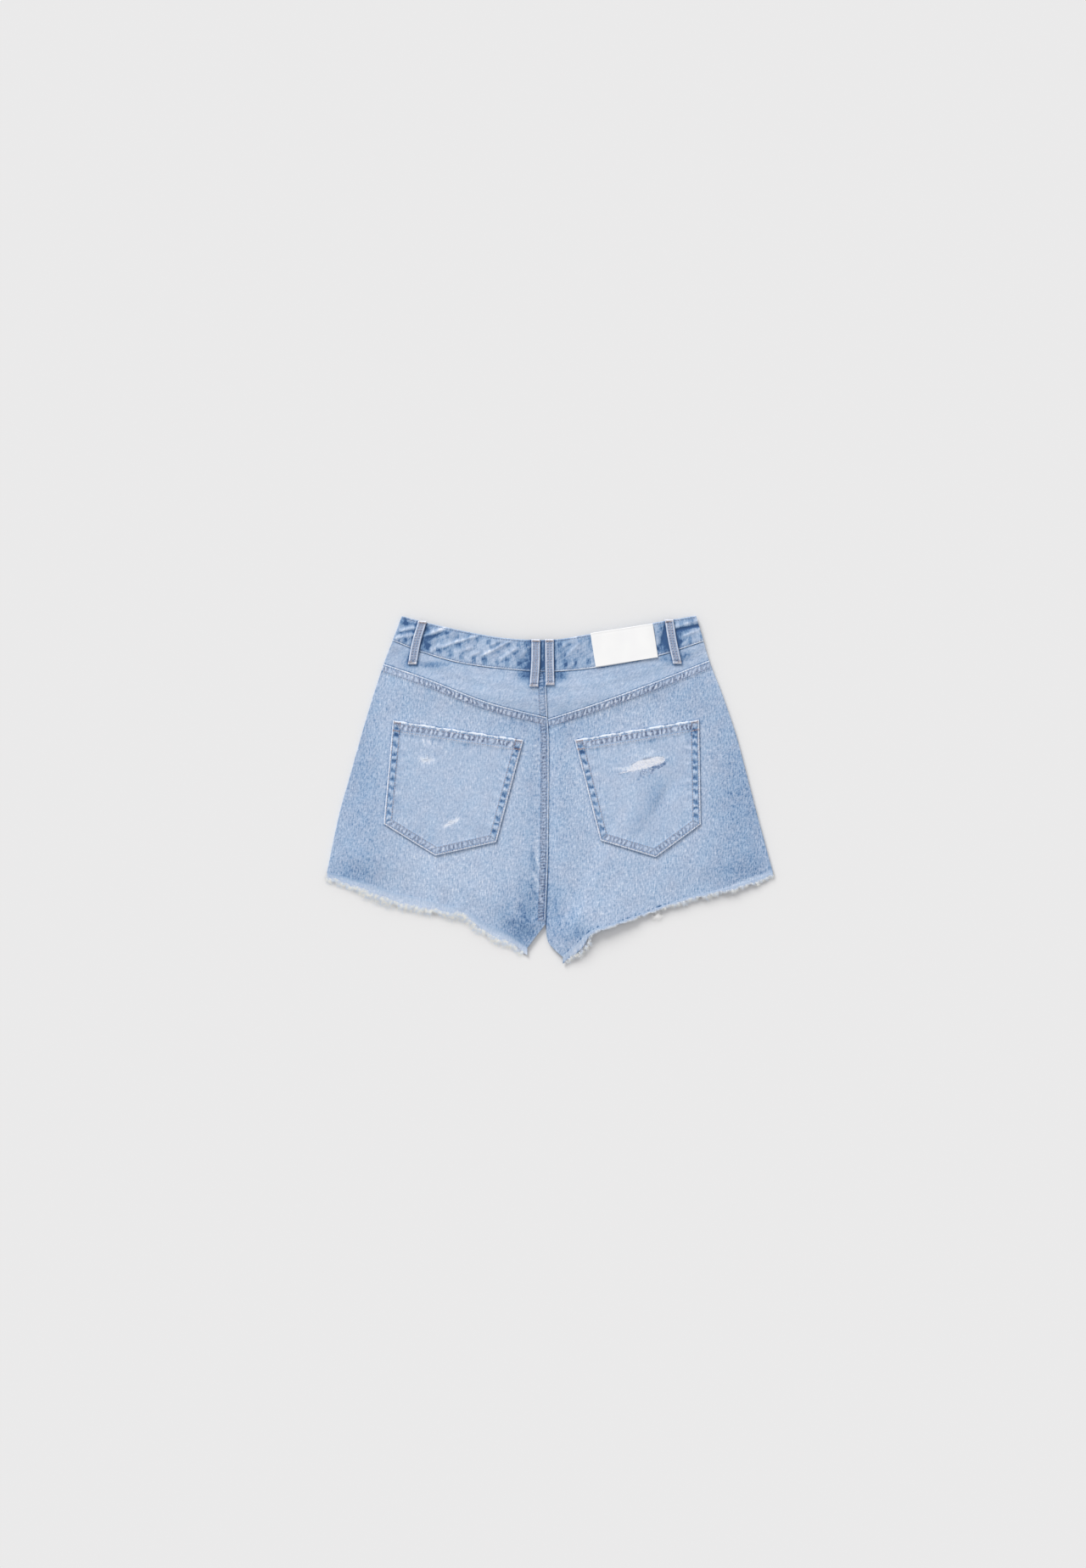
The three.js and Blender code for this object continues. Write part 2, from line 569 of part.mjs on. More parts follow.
const pocketWall = (corners) => wall(pocketPlan(corners), pocketColumns, pocketRows, pocketUnder, pocketOver);
add("back_pocket_left", pocketWall(POCKET_LEFT), washedDenim);

// A closed geometry as a manifold-3d solid, and back
function solidOf(geometry) {
  const bare = geometry.clone();
  bare.deleteAttribute("normal");
  bare.deleteAttribute("uv");
  const merged = mergeVertices(bare, 1e-3);
  return new wasm.Manifold(
    new wasm.Mesh({
      numProp: 3,
      vertProperties: new Float32Array(merged.attributes.position.array),
      triVerts: new Uint32Array(merged.index.array),
    }),
  );
}
function geometryOf(solid) {
  const mesh = solid.getMesh();
  return closedGeometry(Array.from(mesh.vertProperties), Array.from(mesh.triVerts));
}

// The rip in the right pocket: a slanting, ragged hole cut through the cloth
function ripCutter() {
  const outline = new THREE.Shape();
  for (let i = 0; i < RIP.steps; i++) {
    const turn = (i / RIP.steps) * 2 * Math.PI;
    const reach = 1 - RIP.ragged * chance(i + 3);
    const along = RIP.halfLength * reach * Math.cos(turn);
    const across = RIP.halfHeight * reach * Math.sin(turn);
    const x = RIP.x + along * Math.cos(RIP.tilt) - across * Math.sin(RIP.tilt);
    const y = RIP.y + along * Math.sin(RIP.tilt) + across * Math.cos(RIP.tilt);
    if (i) outline.lineTo(x, y);
    else outline.moveTo(x, y);
  }
  outline.closePath();
  return new THREE.ExtrudeGeometry(outline, { depth: 40, bevelEnabled: false });
}
const rippedPocket = solidOf(pocketWall(POCKET_RIGHT)).subtract(solidOf(ripCutter()));
add("back_pocket_right", geometryOf(rippedPocket), washedDenim);

// Bare white patch across the waistband, turned with the waist's slope
const plate = (s, t) => {
  const across = (s - 0.5) * PATCH_PLATE.width;
  const up = (t - 0.5) * PATCH_PLATE.height;
  return {
    x: PATCH_PLATE.x + across * Math.cos(PATCH_PLATE.tilt) - up * Math.sin(PATCH_PLATE.tilt),
    y: PATCH_PLATE.y + across * Math.sin(PATCH_PLATE.tilt) + up * Math.cos(PATCH_PLATE.tilt),
  };
};
const patchUnder = (x, y) => bandOver(x, y) + LAYER_GAP;
const patchOver = (x, y) => patchUnder(x, y) + PATCH;
add("waist_patch", wall(plate, evenly(0, 1, 8), evenly(0, 1, 4), patchUnder, patchOver), coatedCard);

// Belt loops: straps from the waist edge down over the band and its seam
const LOOP_SLOPE = 0.11; // how fast a loop comes down from the band to the cloth below it
function strap(loop, topY) {
  const line = through(
    [
      { y: topY, x: loop.top },
      { y: (topY + loop.end) / 2, x: loop.middle },
      { y: loop.end, x: loop.low },
    ],
    "y",
    "x",
  );
  return (s, t) => {
    const y = mix(loop.end, topY, t);
    return { x: line(y) + (s - 0.5) * LOOP_WIDTH, y };
  };
}
const backLoopUnder = (x, y) => {
  const below = Math.max(0, bandSeam(x) - 1 - y);
  return Math.max(backOver(x, y), bandOver(x, y) - below * LOOP_SLOPE) + LAYER_GAP;
};
for (const loop of BACK_LOOPS) {
  const over = (x, y) => backLoopUnder(x, y) + LOOP;
  const plan = strap(loop, waistEdge(loop.top) + 0.8);
  add(loop.name, wall(plan, evenly(0, 1, 2), evenly(0, 1, 9), backLoopUnder, over), denim);
}
const frontLoopOver = (x, y) => liftAt(x, y) - SEAM_GAP;
for (const loop of FRONT_LOOPS) {
  const under = (x, y) => frontLoopOver(x, y) - LOOP;
  const plan = strap(loop, frontWaistEdge(loop.top) + 0.8);
  add(loop.name, wall(plan, evenly(0, 1, 2), evenly(0, 1, 8), under, frontLoopOver), denim);
}

// Shank button on the front waistband, face down
const buttonProfile = [
  [0, 0],
  [6.4, 0],
  [7.9, 0.4],
  [BUTTON.radius, 1.2],
  [7.6, BUTTON.thickness],
  [0, BUTTON.thickness],
].map(([radius, height]) => new THREE.Vector2(radius, height));
const button = new THREE.LatheGeometry(buttonProfile, 24);
button.rotateX(Math.PI / 2);
button.translate(BUTTON.x, BUTTON.y, 0);
add("waist_button", button, nickel);

// A frayed hem: a strip's section is followed along the lower edge of a panel, past that edge's own
// grid points, and each strand grows from the strip's outer face between two sections close together.
function frayedHem(plan, lines, pitch, foot, drop, seed) {
  const edge = lines.map((s) => plan(s, 0));
  const points = [];
  const faces = [];
  const quad = (a, b, c, d) => faces.push(a, b, c, a, c, d);
  const edgeAt = (position) => {
    const i = Math.min(Math.floor(position), edge.length - 2);
    const share = position - i;
    return { x: mix(edge[i].x, edge[i + 1].x, share), y: mix(edge[i].y, edge[i + 1].y, share) };
  };
  const outwardAt = (position) => {
    const p = edgeAt(Math.max(position - 0.4, 0));
    const q = edgeAt(Math.min(position + 0.4, edge.length - 1));
    return new THREE.Vector2(q.y - p.y, p.x - q.x).normalize();
  };
  const section = (position) => {
    const { x, y } = edgeAt(position);
    const out = outwardAt(position);
    const first = points.length / 3;
    for (const reach of [SEAM_GAP, SEAM_GAP + STRIP_WIDTH]) {
      const [px, py] = [x + out.x * reach, y + out.y * reach];
      points.push(px, py, foot(x, y), px, py, foot(x, y) + STRIP_THICKNESS);
    }
    return first; // inner low, inner high, outer low, outer high
  };
  const join = (a, b, open) => {
    quad(a, a + 1, b + 1, b);
    quad(a + 1, a + 3, b + 3, b + 1);
    quad(a + 2, a, b, b + 2);
    if (!open) quad(a + 3, a + 2, b + 2, b + 3);
  };
  const strand = (a, b, position, n) => {
    const { x, y } = edgeAt(position);
    const out = outwardAt(position);
    const lean = (chance(n) - 0.5) * STRAND_LEAN;
    const length = mix(STRAND_SHORT, STRAND_LONG, chance(n + 0.37));
    const reach = SEAM_GAP + STRIP_WIDTH;
    const tip = points.length / 3;
    points.push(
      x + out.x * reach + (out.x * Math.cos(lean) - out.y * Math.sin(lean)) * length,
      y + out.y * reach + (out.x * Math.sin(lean) + out.y * Math.cos(lean)) * length,
      Math.max(STRAND_FLOOR, foot(x, y) - drop * chance(n + 0.71)) + STRIP_THICKNESS / 2,
    );
    const ring = [a + 2, b + 2, b + 3, a + 3];
    ring.forEach((corner, i) => faces.push(corner, ring[(i + 1) % 4], tip));
  };
  let before = section(STRIP_END);
  quad(before + 1, before, before + 2, before + 3);
  let number = seed;
  for (let i = 0; i < edge.length - 1; i++) {
    const length = Math.hypot(edge[i + 1].x - edge[i].x, edge[i + 1].y - edge[i].y);
    const count = Math.max(0, Math.round((length - 1) / pitch));
    for (let k = 0; k < count; k++) {
      const share = (k + 0.5 + (chance(number + 0.53) - 0.5) * 0.3) / count;
      const half = STRAND_ROOT / 2 / length;
      const a = section(i + share - half);
      const b = section(i + share + half);
      join(before, a, false);
      join(a, b, true);
      strand(a, b, i + share, number);
      before = b;
      number += 1;
    }
    const corner = section(i < edge.length - 2 ? i + 1 : i + 1 - STRIP_END);
    join(before, corner, false);
    before = corner;
  }
  quad(before, before + 1, before + 3, before + 2);
  return closedGeometry(points, faces);
}
const fringes = {
  frayed_hem_back_left: [backLeft, leftLines, BACK_PITCH, backFoot, BACK_DROP, 11],
  frayed_hem_back_right: [backRight, rightLines, BACK_PITCH, backFoot, BACK_DROP, 83],
  frayed_hem_front_left: [frontLeft, frontColumns, FRONT_PITCH, frontFoot, FRONT_DROP, 157],
  frayed_hem_front_right: [frontRight, frontColumns, FRONT_PITCH, frontFoot, FRONT_DROP, 211],
};
for (const [name, shape] of Object.entries(fringes)) add(name, frayedHem(...shape), frayedThread);

export default shorts;
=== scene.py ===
import math

import bmesh
import bpy
import numpy as np
from mathutils import Matrix, Vector


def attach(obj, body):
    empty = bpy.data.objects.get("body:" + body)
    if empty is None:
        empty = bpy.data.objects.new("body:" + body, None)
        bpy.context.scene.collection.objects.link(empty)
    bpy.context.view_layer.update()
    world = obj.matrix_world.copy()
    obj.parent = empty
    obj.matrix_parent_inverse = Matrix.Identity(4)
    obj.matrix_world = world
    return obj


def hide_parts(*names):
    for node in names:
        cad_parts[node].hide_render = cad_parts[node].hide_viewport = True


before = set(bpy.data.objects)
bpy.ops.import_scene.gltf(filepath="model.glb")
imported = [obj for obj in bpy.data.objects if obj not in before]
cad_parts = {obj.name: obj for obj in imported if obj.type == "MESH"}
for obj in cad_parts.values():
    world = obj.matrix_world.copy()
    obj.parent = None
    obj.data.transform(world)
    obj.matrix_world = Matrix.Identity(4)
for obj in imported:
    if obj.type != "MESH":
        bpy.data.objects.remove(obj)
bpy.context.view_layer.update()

# The table, the light and the camera
# The shorts lie on a plain white table top, seen from straight above. One broad soft light stands
# beyond the waist, so that the hems throw their soft shadow towards the foot of the picture.
MM = 0.001
TABLE_WHITE = 0.8
TABLE_GLOW = 0.63  # light that comes from all round
LAMP_GLOW = 0.41  # light that the table gets from the lamp
LAMP_HEIGHT = math.radians(28)
LAMP_TURN = math.radians(27)
LAMP_SOFTNESS = math.radians(27)
PICTURE_MIDDLE = (-9, 6)
PICTURE_TALL = 1848  # what the picture's height takes in, in millimetres
LENS = 85
FILM = 36
CLOTH_TOP = 8


def add(name, data):
    """A new object, linked into the scene."""
    made = bpy.data.objects.new(name, data)
    bpy.context.collection.objects.link(made)
    return made


def put(tree, kind, inputs=(), **settings):
    """A shader node with its settings, its inputs given as values or as links."""
    made = tree.nodes.new("ShaderNode" + kind)
    for name, value in settings.items():
        setattr(made, name, value)
    for socket, value in dict(inputs).items():
        if isinstance(value, bpy.types.NodeSocket):
            tree.links.new(value, made.inputs[socket])
        else:
            made.inputs[socket].default_value = value
    return made


def new_material(name):
    """An empty material with its shader and output joined."""
    material = bpy.data.materials.new(name)
    material.use_nodes = True
    tree = material.node_tree
    tree.nodes.clear()
    shader = put(tree, "BsdfPrincipled")
    put(tree, "OutputMaterial", {"Surface": shader.outputs[0]})
    return material, tree, shader


def two_tones(tree, value, dark, light):
    """A colour between two, by a value."""
    ramp = put(tree, "ValToRGB", {0: value})
    ramp.color_ramp.elements[0].color = dark
    ramp.color_ramp.elements[1].color = light
    return ramp.outputs[0]


table_mesh = bpy.data.meshes.new("table_top")
bm = bmesh.new()
bmesh.ops.create_grid(bm, x_segments=1, y_segments=1, size=3)
bmesh.ops.translate(bm, vec=(0, 0, -0.2 * MM), verts=bm.verts)
bm.to_mesh(table_mesh)
bm.free()
table = add("table_top", table_mesh)
table_paint, tree, shader = new_material("white_table")
shader.inputs["Base Color"].default_value = (TABLE_WHITE, TABLE_WHITE, TABLE_WHITE, 1)
shader.inputs["Roughness"].default_value = 0.9
shader.inputs["Specular IOR Level"].default_value = 0
table_mesh.materials.append(table_paint)

world = bpy.data.worlds.new("room")
world.use_nodes = True
world.node_tree.nodes["Background"].inputs["Color"].default_value = (0.99, 0.992, 1.012, 1)
world.node_tree.nodes["Background"].inputs["Strength"].default_value = TABLE_GLOW
bpy.context.scene.world = world

lamp_data = bpy.data.lights.new("lamp", "SUN")
lamp_data.energy = LAMP_GLOW * math.pi / math.sin(LAMP_HEIGHT)
lamp_data.angle = LAMP_SOFTNESS
lamp_data.color = (1, 0.985, 0.96)
lamp = add("lamp", lamp_data)
lamp.rotation_euler = (LAMP_HEIGHT - math.pi / 2, 0, LAMP_TURN)

camera_data = bpy.data.cameras.new("camera")
camera_data.lens = LENS
camera_data.sensor_width = FILM
camera_data.clip_end = 50
camera = add("camera", camera_data)
camera_height = CLOTH_TOP + PICTURE_TALL * LENS / FILM
camera.location = (PICTURE_MIDDLE[0] * MM, PICTURE_MIDDLE[1] * MM, camera_height * MM)
bpy.context.scene.camera = camera
bpy.context.scene.view_settings.view_transform = "Standard"

# Back legs
# Two panels of washed indigo twill, cut off raw at the hem. Each is turned under and stitched twice
# over the yoke, and the left one is felled over the right down the middle of the seat.
DENIM = 1.5
BAND = 2.2
SEAM_GAP = 0.3
LAYER_GAP = 0.4
SEAM_RISE = 0.8
FELL_WIDTH = 10
WAIST_RISE = 2.3
AIR = 3
AIR_MOST = 3.4
CROTCH_Y = -160
GRID = 1.5  # how far apart a panel's points stand
rng = np.random.default_rng(7)


def through(*rows):
    """A smooth curve through rows of (at, value)."""
    at, value = np.array(sorted(rows), float).T
    place = np.arange(len(at))
    after = np.minimum(place + 1, len(at) - 1)
    before = np.maximum(place - 1, 0)
    slope = (value[after] - value[before]) / (at[after] - at[before])

    def curve(x):
        x = np.asarray(x, float)
        i = np.clip(np.searchsorted(at, x) - 1, 0, len(at) - 2)
        span = at[i + 1] - at[i]
        t = np.clip((x - at[i]) / span, 0, 1)
        lean = slope[i] * t * (1 - t) ** 2 - slope[i + 1] * t**2 * (1 - t)
        inside = value[i] + (value[i + 1] - value[i]) * t * t * (3 - 2 * t) + lean * span
        return inside + np.minimum(x - at[0], 0) * slope[0] + np.maximum(x - at[-1], 0) * slope[-1]

    return curve


def ease(t):
    t = np.clip(t, 0, 1)
    return t * t * (3 - 2 * t)


def bell(d):
    return np.exp(-d * d)


def mix(a, b, t):
    return a + (b - a) * t


# Outline of the back: (height, across) for the sides and seams that run down, (across, height) for
# those that run across, in millimetres
side_left = through(
    (204, -175.5), (175, -186.5), (150, -196), (114, -208), (66, -222.5), (18, -236), (-30, -249.5),
    (-99, -264)
)
side_right = through(
    (204.5, 171.5), (174, 180.5), (150, 187.5), (114, 201.5), (66, 218), (18, 231), (-30, 243.5), (-99, 262.5)
)
band_seam = through(
    (-186.5, 175), (-154, 162), (-107, 148.5), (-50, 141), (0, 138.3), (54, 143), (127.5, 157), (180.5, 174)
)
yoke_left = through((-196.8, 148), (-145, 130), (-83, 105.5), (-47, 95), (-3, 84.5))
yoke_right = through((-4, 82.5), (52, 100.5), (124, 127), (187, 152))
centre_seam = through((138, -6), (85, -3.5), (60, -2), (-80, -3), (-160, -6))
inseam_left = through((CROTCH_Y, -6.3), (-175, -18), (-187, -27))
inseam_right = through((CROTCH_Y, -5.7), (-180, -3), (-190, 5), (-198, 14))
hem_left = through(
    (-264, -99), (-223, -110), (-185, -123), (-140, -133), (-121, -139), (-106, -140.5), (-75, -160),
    (-49, -171), (-27, -187)
)
hem_right = through(
    (14, -198), (27, -187), (48, -168), (77, -159), (110, -147), (155, -131), (209, -117),
    (244, -106), (262.5, -99)
)
front_band_seam = through(
    (-186.5, 174.5), (-120, 144), (-55, 130), (0, 127), (55, 131), (120, 148), (180.5, 173.5)
)

# Where each hem stands off the table: middle x, y, reach in x, in y, rise
hem_lifts = [
    (-128, -152, 80, 62, 0.5),
    (66, -178, 84, 62, 5.2),
    (150, -140, 60, 50, 1.2),
    (212, -128, 58, 48, 1.5),
]

# Folds: from x, y to x, y, width, rise. The last rows are the smaller creases.
folds = [
    (-22, -148, -78, -62, 15, -1.1),
    (-52, -158, -118, -50, 19, 1.1),
    (12, -152, 52, -66, 15, -0.9),
    (46, -150, 98, -48, 18, 1.0),
    (146, 12, 112, -48, 13, -0.8),
    (-156, 44, -112, -34, 16, 0.7),
    (-176, 104, -206, 8, 16, -0.7),
    (190, 96, 214, -12, 15, -0.8),
    (-196, -52, -214, -116, 15, 0.8),
    (178, -64, 196, -122, 14, 0.9),
    (-60, 118, 46, 112, 14, 0.6),
    (-158, -118, -150, -64, 14, -0.8),
]
creases = [
    (-12, -140, -34, -96, 4.5, -0.5),
    (-13, -116, -26, -70, 4, 0.4),
    (-10, -152, -46, -140, 5, -0.6),
    (-16, -160, -58, -152, 4, 0.4),
    (2, -138, 22, -92, 4.5, -0.4),
    (4, -152, 34, -138, 5, -0.4),
    (144, 8, 122, -28, 5, -0.5),
    (134, 6, 110, -34, 5, 0.4),
    (-120, 84, -128, 60, 5, -0.25),
    (60, 82, 68, 62, 5, -0.25),
    (-228, -80, -206, -104, 6, 0.5),
    (-252, -74, -226, -100, 6, -0.4),
    (206, -78, 226, -108, 6, -0.5),
    (-92, -118, -106, -138, 6, 0.6),
    (-118, -112, -124, -136, 6, -0.5),
    (30, -150, 34, -178, 5, 0.6),
    (64, -128, 58, -160, 7, -0.6),
    (92, -120, 96, -148, 7, 0.5),
]


def ridges(rows, x, y):
    """The sum of soft ridges and troughs along straight lines."""
    total = np.zeros_like(x)
    for x1, y1, x2, y2, width, rise in rows:
        dx, dy = x2 - x1, y2 - y1
        along = np.clip(((x - x1) * dx + (y - y1) * dy) / (dx * dx + dy * dy), 0, 1)
        total += rise * bell(np.hypot(x - x1 - along * dx, y - y1 - along * dy) / width)
    return total


def lift(x, y):
    """How high the outer side of the front stands above the table."""
    up_waist = ease((y - front_band_seam(x) + 50) / 28)
    across_waist = 1 - ease((abs(x) - 112) / 50)
    total = WAIST_RISE * up_waist * across_waist
    for mid_x, mid_y, reach_x, reach_y, rise in hem_lifts:
        total = total + rise * ease(1 - np.hypot((x - mid_x) / reach_x, (y - mid_y) / reach_y))
    return total


def inner_edge(x, y):
    """How far a point lies from the seat's seam, or from its own leg's inseam below the crotch."""
    legs_meet = (inseam_left(y) + inseam_right(y)) / 2
    leg_edge = np.where(x < legs_meet, inseam_left(y), inseam_right(y))
    return x - np.where(y > CROTCH_Y, centre_seam(y), leg_edge)


def back_under(x, y):
    """Underside of the back: the front, a small gap, and the air that the folds leave."""
    from_side = ease(np.minimum(x - side_left(y), side_right(y) - x) / 45)
    under_band = mix(1, 0.2, ease((y - band_seam(x) + 40) / 45))
    crotchward = ease((-40 - y) / 120)
    valley = 1 - mix(0.45, 1, crotchward) * bell(inner_edge(x, y) / mix(9, 20, crotchward))
    air = np.clip((AIR * under_band + ridges(folds, x, y)) * from_side * valley, 0, AIR_MOST)
    hem = np.where(x < -6, hem_left(x), hem_right(x))
    air = air * mix(1, 0.4, ease((hem + 34 - y) / 34))
    front_wall = mix(DENIM, BAND, ease((y - front_band_seam(x) + 14) / 10))
    return lift(x, y) + front_wall + LAYER_GAP + air


def back_over(x, y):
    return back_under(x, y) + DENIM + ridges(creases, x, y) * 0.55


def point(x, y):
    return np.stack(np.broadcast_arrays(np.asarray(x, float), np.asarray(y, float)), -1)


def panel(left, right, bottom, top):
    """A four-sided piece in the plan, from its four edges."""
    corners = [left(0.0), right(0.0), left(1.0), right(1.0)]

    def plan(s, t):
        across, up = s[:, None], t[:, None]
        edges = mix(bottom(s), top(s), up) + mix(left(t), right(t), across)
        return edges - mix(mix(corners[0], corners[1], across), mix(corners[2], corners[3], across), up)

    return plan


def grid_lines(length, step=GRID):
    """Shares of a length at which a grid has lines: close together at both ends, where cloth rounds off."""
    ends = np.array([0, 0.25, 0.6, 1.1])
    inner = np.linspace(1.8, length - 1.8, max(2, round((length - 3.6) / step)))
    return np.concatenate([ends, inner, length - ends[::-1]]) / length


def rounded(distance, radius=0.7):
    """How far a rounded edge drops at a distance from it."""
    return np.sqrt(np.maximum(radius**2 - np.clip(radius - distance, 0, radius) ** 2, 0)) - radius


def cloth(name, plan, lengths, over, wall, materials, looks, nodes, step=GRID, cut_away=None,
          torn_edge=None, grain=None):
    """A sewn piece: a grid laid over its plan, bent to its height, and given its wall."""
    s_lines = grid_lines(lengths[0], step)
    t_lines = grid_lines(lengths[1], step)
    bm = bmesh.new()
    bmesh.ops.create_grid(bm, x_segments=len(s_lines) - 1, y_segments=len(t_lines) - 1, size=0.5)
    shares = np.array([v.co.xy for v in bm.verts]) + 0.5
    s = s_lines[np.rint(shares[:, 0] * (len(s_lines) - 1)).astype(int)]
    t = t_lines[np.rint(shares[:, 1] * (len(t_lines) - 1)).astype(int)]
    x, y = plan(s, t).T
    z = over(x, y, s, t)
    for vert, place in zip(bm.verts, np.stack([x, y, z], 1) * MM):
        vert.co = place
    if cut_away is not None:
        lost = cut_away(x, y)
        bmesh.ops.delete(bm, geom=[v for v, out in zip(bm.verts, lost) if out], context="VERTS")
        for vert, near in zip(bm.verts, np.stack(torn_edge(x[~lost], y[~lost]), 1) * MM):
            if vert.is_boundary and (vert.co.xy - Vector(near)).length < 2.2 * MM:
                vert.co.xy = near
        x, y, s, t = (values[~lost] for values in (x, y, s, t))
    area = sum(face.calc_area() for face in bm.faces)
    mesh = bpy.data.meshes.new(name)
    bm.to_mesh(mesh)
    bm.free()
    # A piece's looks: the tone that the wash gives it, with the painted shade that some pieces lay in it, and
    # its seams and their style.
    wash, seam, style = looks(x, y, s, t)
    mesh.attributes.new("wash", "FLOAT", "POINT").data.foreach_set("value", wash)
    mesh.attributes.new("seam", "FLOAT_VECTOR", "POINT").data.foreach_set("vector", seam.ravel())
    mesh.attributes.new("style", "FLOAT_VECTOR", "POINT").data.foreach_set("vector", style.ravel())
    cut = np.stack([x, y] if grain is None else grain(x, y, s, t), 1)
    corners = np.zeros(len(mesh.loops), int)
    mesh.loops.foreach_get("vertex_index", corners)
    mesh.uv_layers.new(name="cut").data.foreach_set("uv", (cut[corners] * 0.01).ravel())
    mesh.polygons.foreach_set("use_smooth", [True] * len(mesh.polygons))
    piece = add(name, mesh)
    for material in materials:
        mesh.materials.append(material)
    thickness = piece.modifiers.new("wall", "SOLIDIFY")
    thickness.thickness = wall * MM
    thickness.offset = -1
    thickness.material_offset = len(materials) - 1
    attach(piece, "root")
    if nodes:
        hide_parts(*nodes)
    size = (float(np.ptp(x)) * MM, float(np.ptp(y)) * MM)
    piece["cut"] = (size[0], size[1], min(area, size[0] * size[1]))
    return piece


def maths(tree, operation, a, b=0.0, c=0.0):
    return put(tree, "Math", {0: a, 1: b, 2: c}, operation=operation).outputs[0]


def rise(tree, value, low, high):
    """A smooth step from 0 at low to 1 at high."""
    inputs = {"Value": value, "From Min": low, "From Max": high}
    return put(tree, "MapRange", inputs, interpolation_type="SMOOTHSTEP").outputs["Result"]


def noise(tree, place, width, length, turn=0.0, detail=2.0, twist=0.0):
    """Cloudy noise about nothing, stretched to a width and a length along a direction."""
    settings = {"Vector": place, "Scale": (width, length, 1), "Rotation": (0, 0, math.radians(turn))}
    stretched = put(tree, "Mapping", settings, vector_type="TEXTURE")
    inputs = {"Vector": stretched.outputs[0], "Scale": 1.0, "Detail": detail, "Distortion": twist}
    cloud = put(tree, "TexNoise", inputs, noise_dimensions="2D")
    return maths(tree, "SUBTRACT", cloud.outputs[0], 0.5)


def weigh(tree, *parts):
    """The sum of (value, weight) pairs."""
    total = 0.0
    for value, weight in parts:
        total = maths(tree, "MULTIPLY_ADD", value, weight, total)
    return total


def surface(r, g, b):
    """The cloth's own colour, from how it looks on the lit table."""
    light = TABLE_GLOW + LAMP_GLOW
    return tuple(((c / 255 + 0.055) / 1.055) ** 2.4 / light for c in (r, g, b)) + (1.0,)


# Washed indigo twill, from deep unwashed blue to bare yarn, with its weave, its mottled wash and its
# roped seams. Some of it faded towards clear blue, and some towards grey.
CLEAR_BLUE = [
    (58, 92, 138), (104, 137, 177), (141, 168, 201), (164, 187, 215), (189, 206, 230), (222, 232, 246)
]
GREY_BLUE = [
    (84, 98, 130), (128, 142, 168), (155, 170, 196), (175, 189, 213), (194, 206, 227), (230, 233, 242)
]
denim_group = bpy.data.node_groups.new("washed_denim", "ShaderNodeTree")
# The wash input also carries the painted shade laid in a piece's tone.
sockets = [
    ("Cut", "NodeSocketVector", 0),
    ("Wash and shade", "NodeSocketFloat", 0.6),
    ("Seam", "NodeSocketVector", 0),
    ("Style", "NodeSocketVector", 0),
    ("Speckle", "NodeSocketFloat", 1.0),
    ("Marble", "NodeSocketFloat", 0.0),
    ("Greyness", "NodeSocketFloat", 0.36),
]
for name, kind, value in sockets:
    socket = denim_group.interface.new_socket(name, in_out="INPUT", socket_type=kind)
    if kind == "NodeSocketFloat":
        socket.default_value = value
denim_group.interface.new_socket("Color", in_out="OUTPUT", socket_type="NodeSocketColor")
denim_group.interface.new_socket("Height", in_out="OUTPUT", socket_type="NodeSocketFloat")
tree = denim_group
given = tree.nodes.new("NodeGroupInput").outputs
cut = given["Cut"]

# Weave and mottle
twill = noise(tree, cut, 0.8, 2.4, turn=-52)
grain = noise(tree, cut, 1.75, 3.8, turn=-9, detail=1.0)
slub = noise(tree, cut, 1.3, 11, turn=3)
weft = noise(tree, cut, 7, 1.1)
mottle = noise(tree, cut, 7, 9, turn=-30)
cloud = noise(tree, cut, 26, 34)
speckle = weigh(tree, (twill, 0.45), (grain, 0.68), (slub, 0.46), (weft, 0.2), (mottle, 0.12), (cloud, 0.1))

# Marbling along the creases of the waistband
streak = noise(tree, cut, 3.6, 17, turn=-60, detail=3.0, twist=0.5)
blot = noise(tree, cut, 8, 8, turn=-40, twist=0.9)
vein = noise(tree, cut, 9, 34, turn=-62, detail=1.0, twist=0.4)
vein = rise(tree, maths(tree, "ABSOLUTE", vein), 0.02, 0.0)
marble = weigh(tree, (streak, 1.3), (blot, 1.2), (vein, 0.2))

# Roping: the dark and pale marks that the wash leaves on a seam's puckers, crossed or in blocks
lane = put(tree, "SeparateXYZ", {0: given["Seam"]}).outputs
beat, across, force = lane[0], lane[1], lane[2]
style = put(tree, "SeparateXYZ", {0: given["Style"]}).outputs
block, lip_white, grey = style[0], style[1], style[2]
seam_place = put(tree, "CombineXYZ", {0: beat, 1: across}).outputs[0]
waver = noise(tree, seam_place, 1.1, 4, detail=1.0)
choice = noise(tree, seam_place, 2.8, 60, detail=0.0)
vigour = noise(tree, seam_place, 4.5, 40)
from_middle = maths(tree, "SUBTRACT", across, 5.5)


def marks(lean):
    """Dark marks once a beat, that lean across the seam."""
    place = maths(tree, "MULTIPLY_ADD", from_middle, lean, beat)
    place = maths(tree, "MULTIPLY_ADD", waver, 0.7, place)
    return maths(tree, "SINE", maths(tree, "MULTIPLY", place, math.tau))


leaning = marks(0.075)
crossing = maths(tree, "MAXIMUM", leaning, marks(-0.085))
crossed = maths(tree, "MULTIPLY", maths(tree, "SUBTRACT", crossing, leaning), rise(tree, choice, -0.12, 0.02))
crossed = maths(tree, "ADD", leaning, crossed)
blocks = maths(tree, "ADD", marks(0.012), 0.2)
wave = maths(tree, "MULTIPLY_ADD", maths(tree, "SUBTRACT", blocks, crossed), block, crossed)
window = maths(tree, "MULTIPLY", rise(tree, across, 2.5, 3.5), rise(tree, across, 8.7, 7.7))
strength = maths(tree, "MULTIPLY", window, maths(tree, "MULTIPLY_ADD", vigour, 1.6, 1.1))
strength = maths(tree, "MULTIPLY", maths(tree, "MAXIMUM", strength, 0.0), force)
dark_marks = maths(tree, "MULTIPLY", rise(tree, wave, -0.3, 1.0), strength)
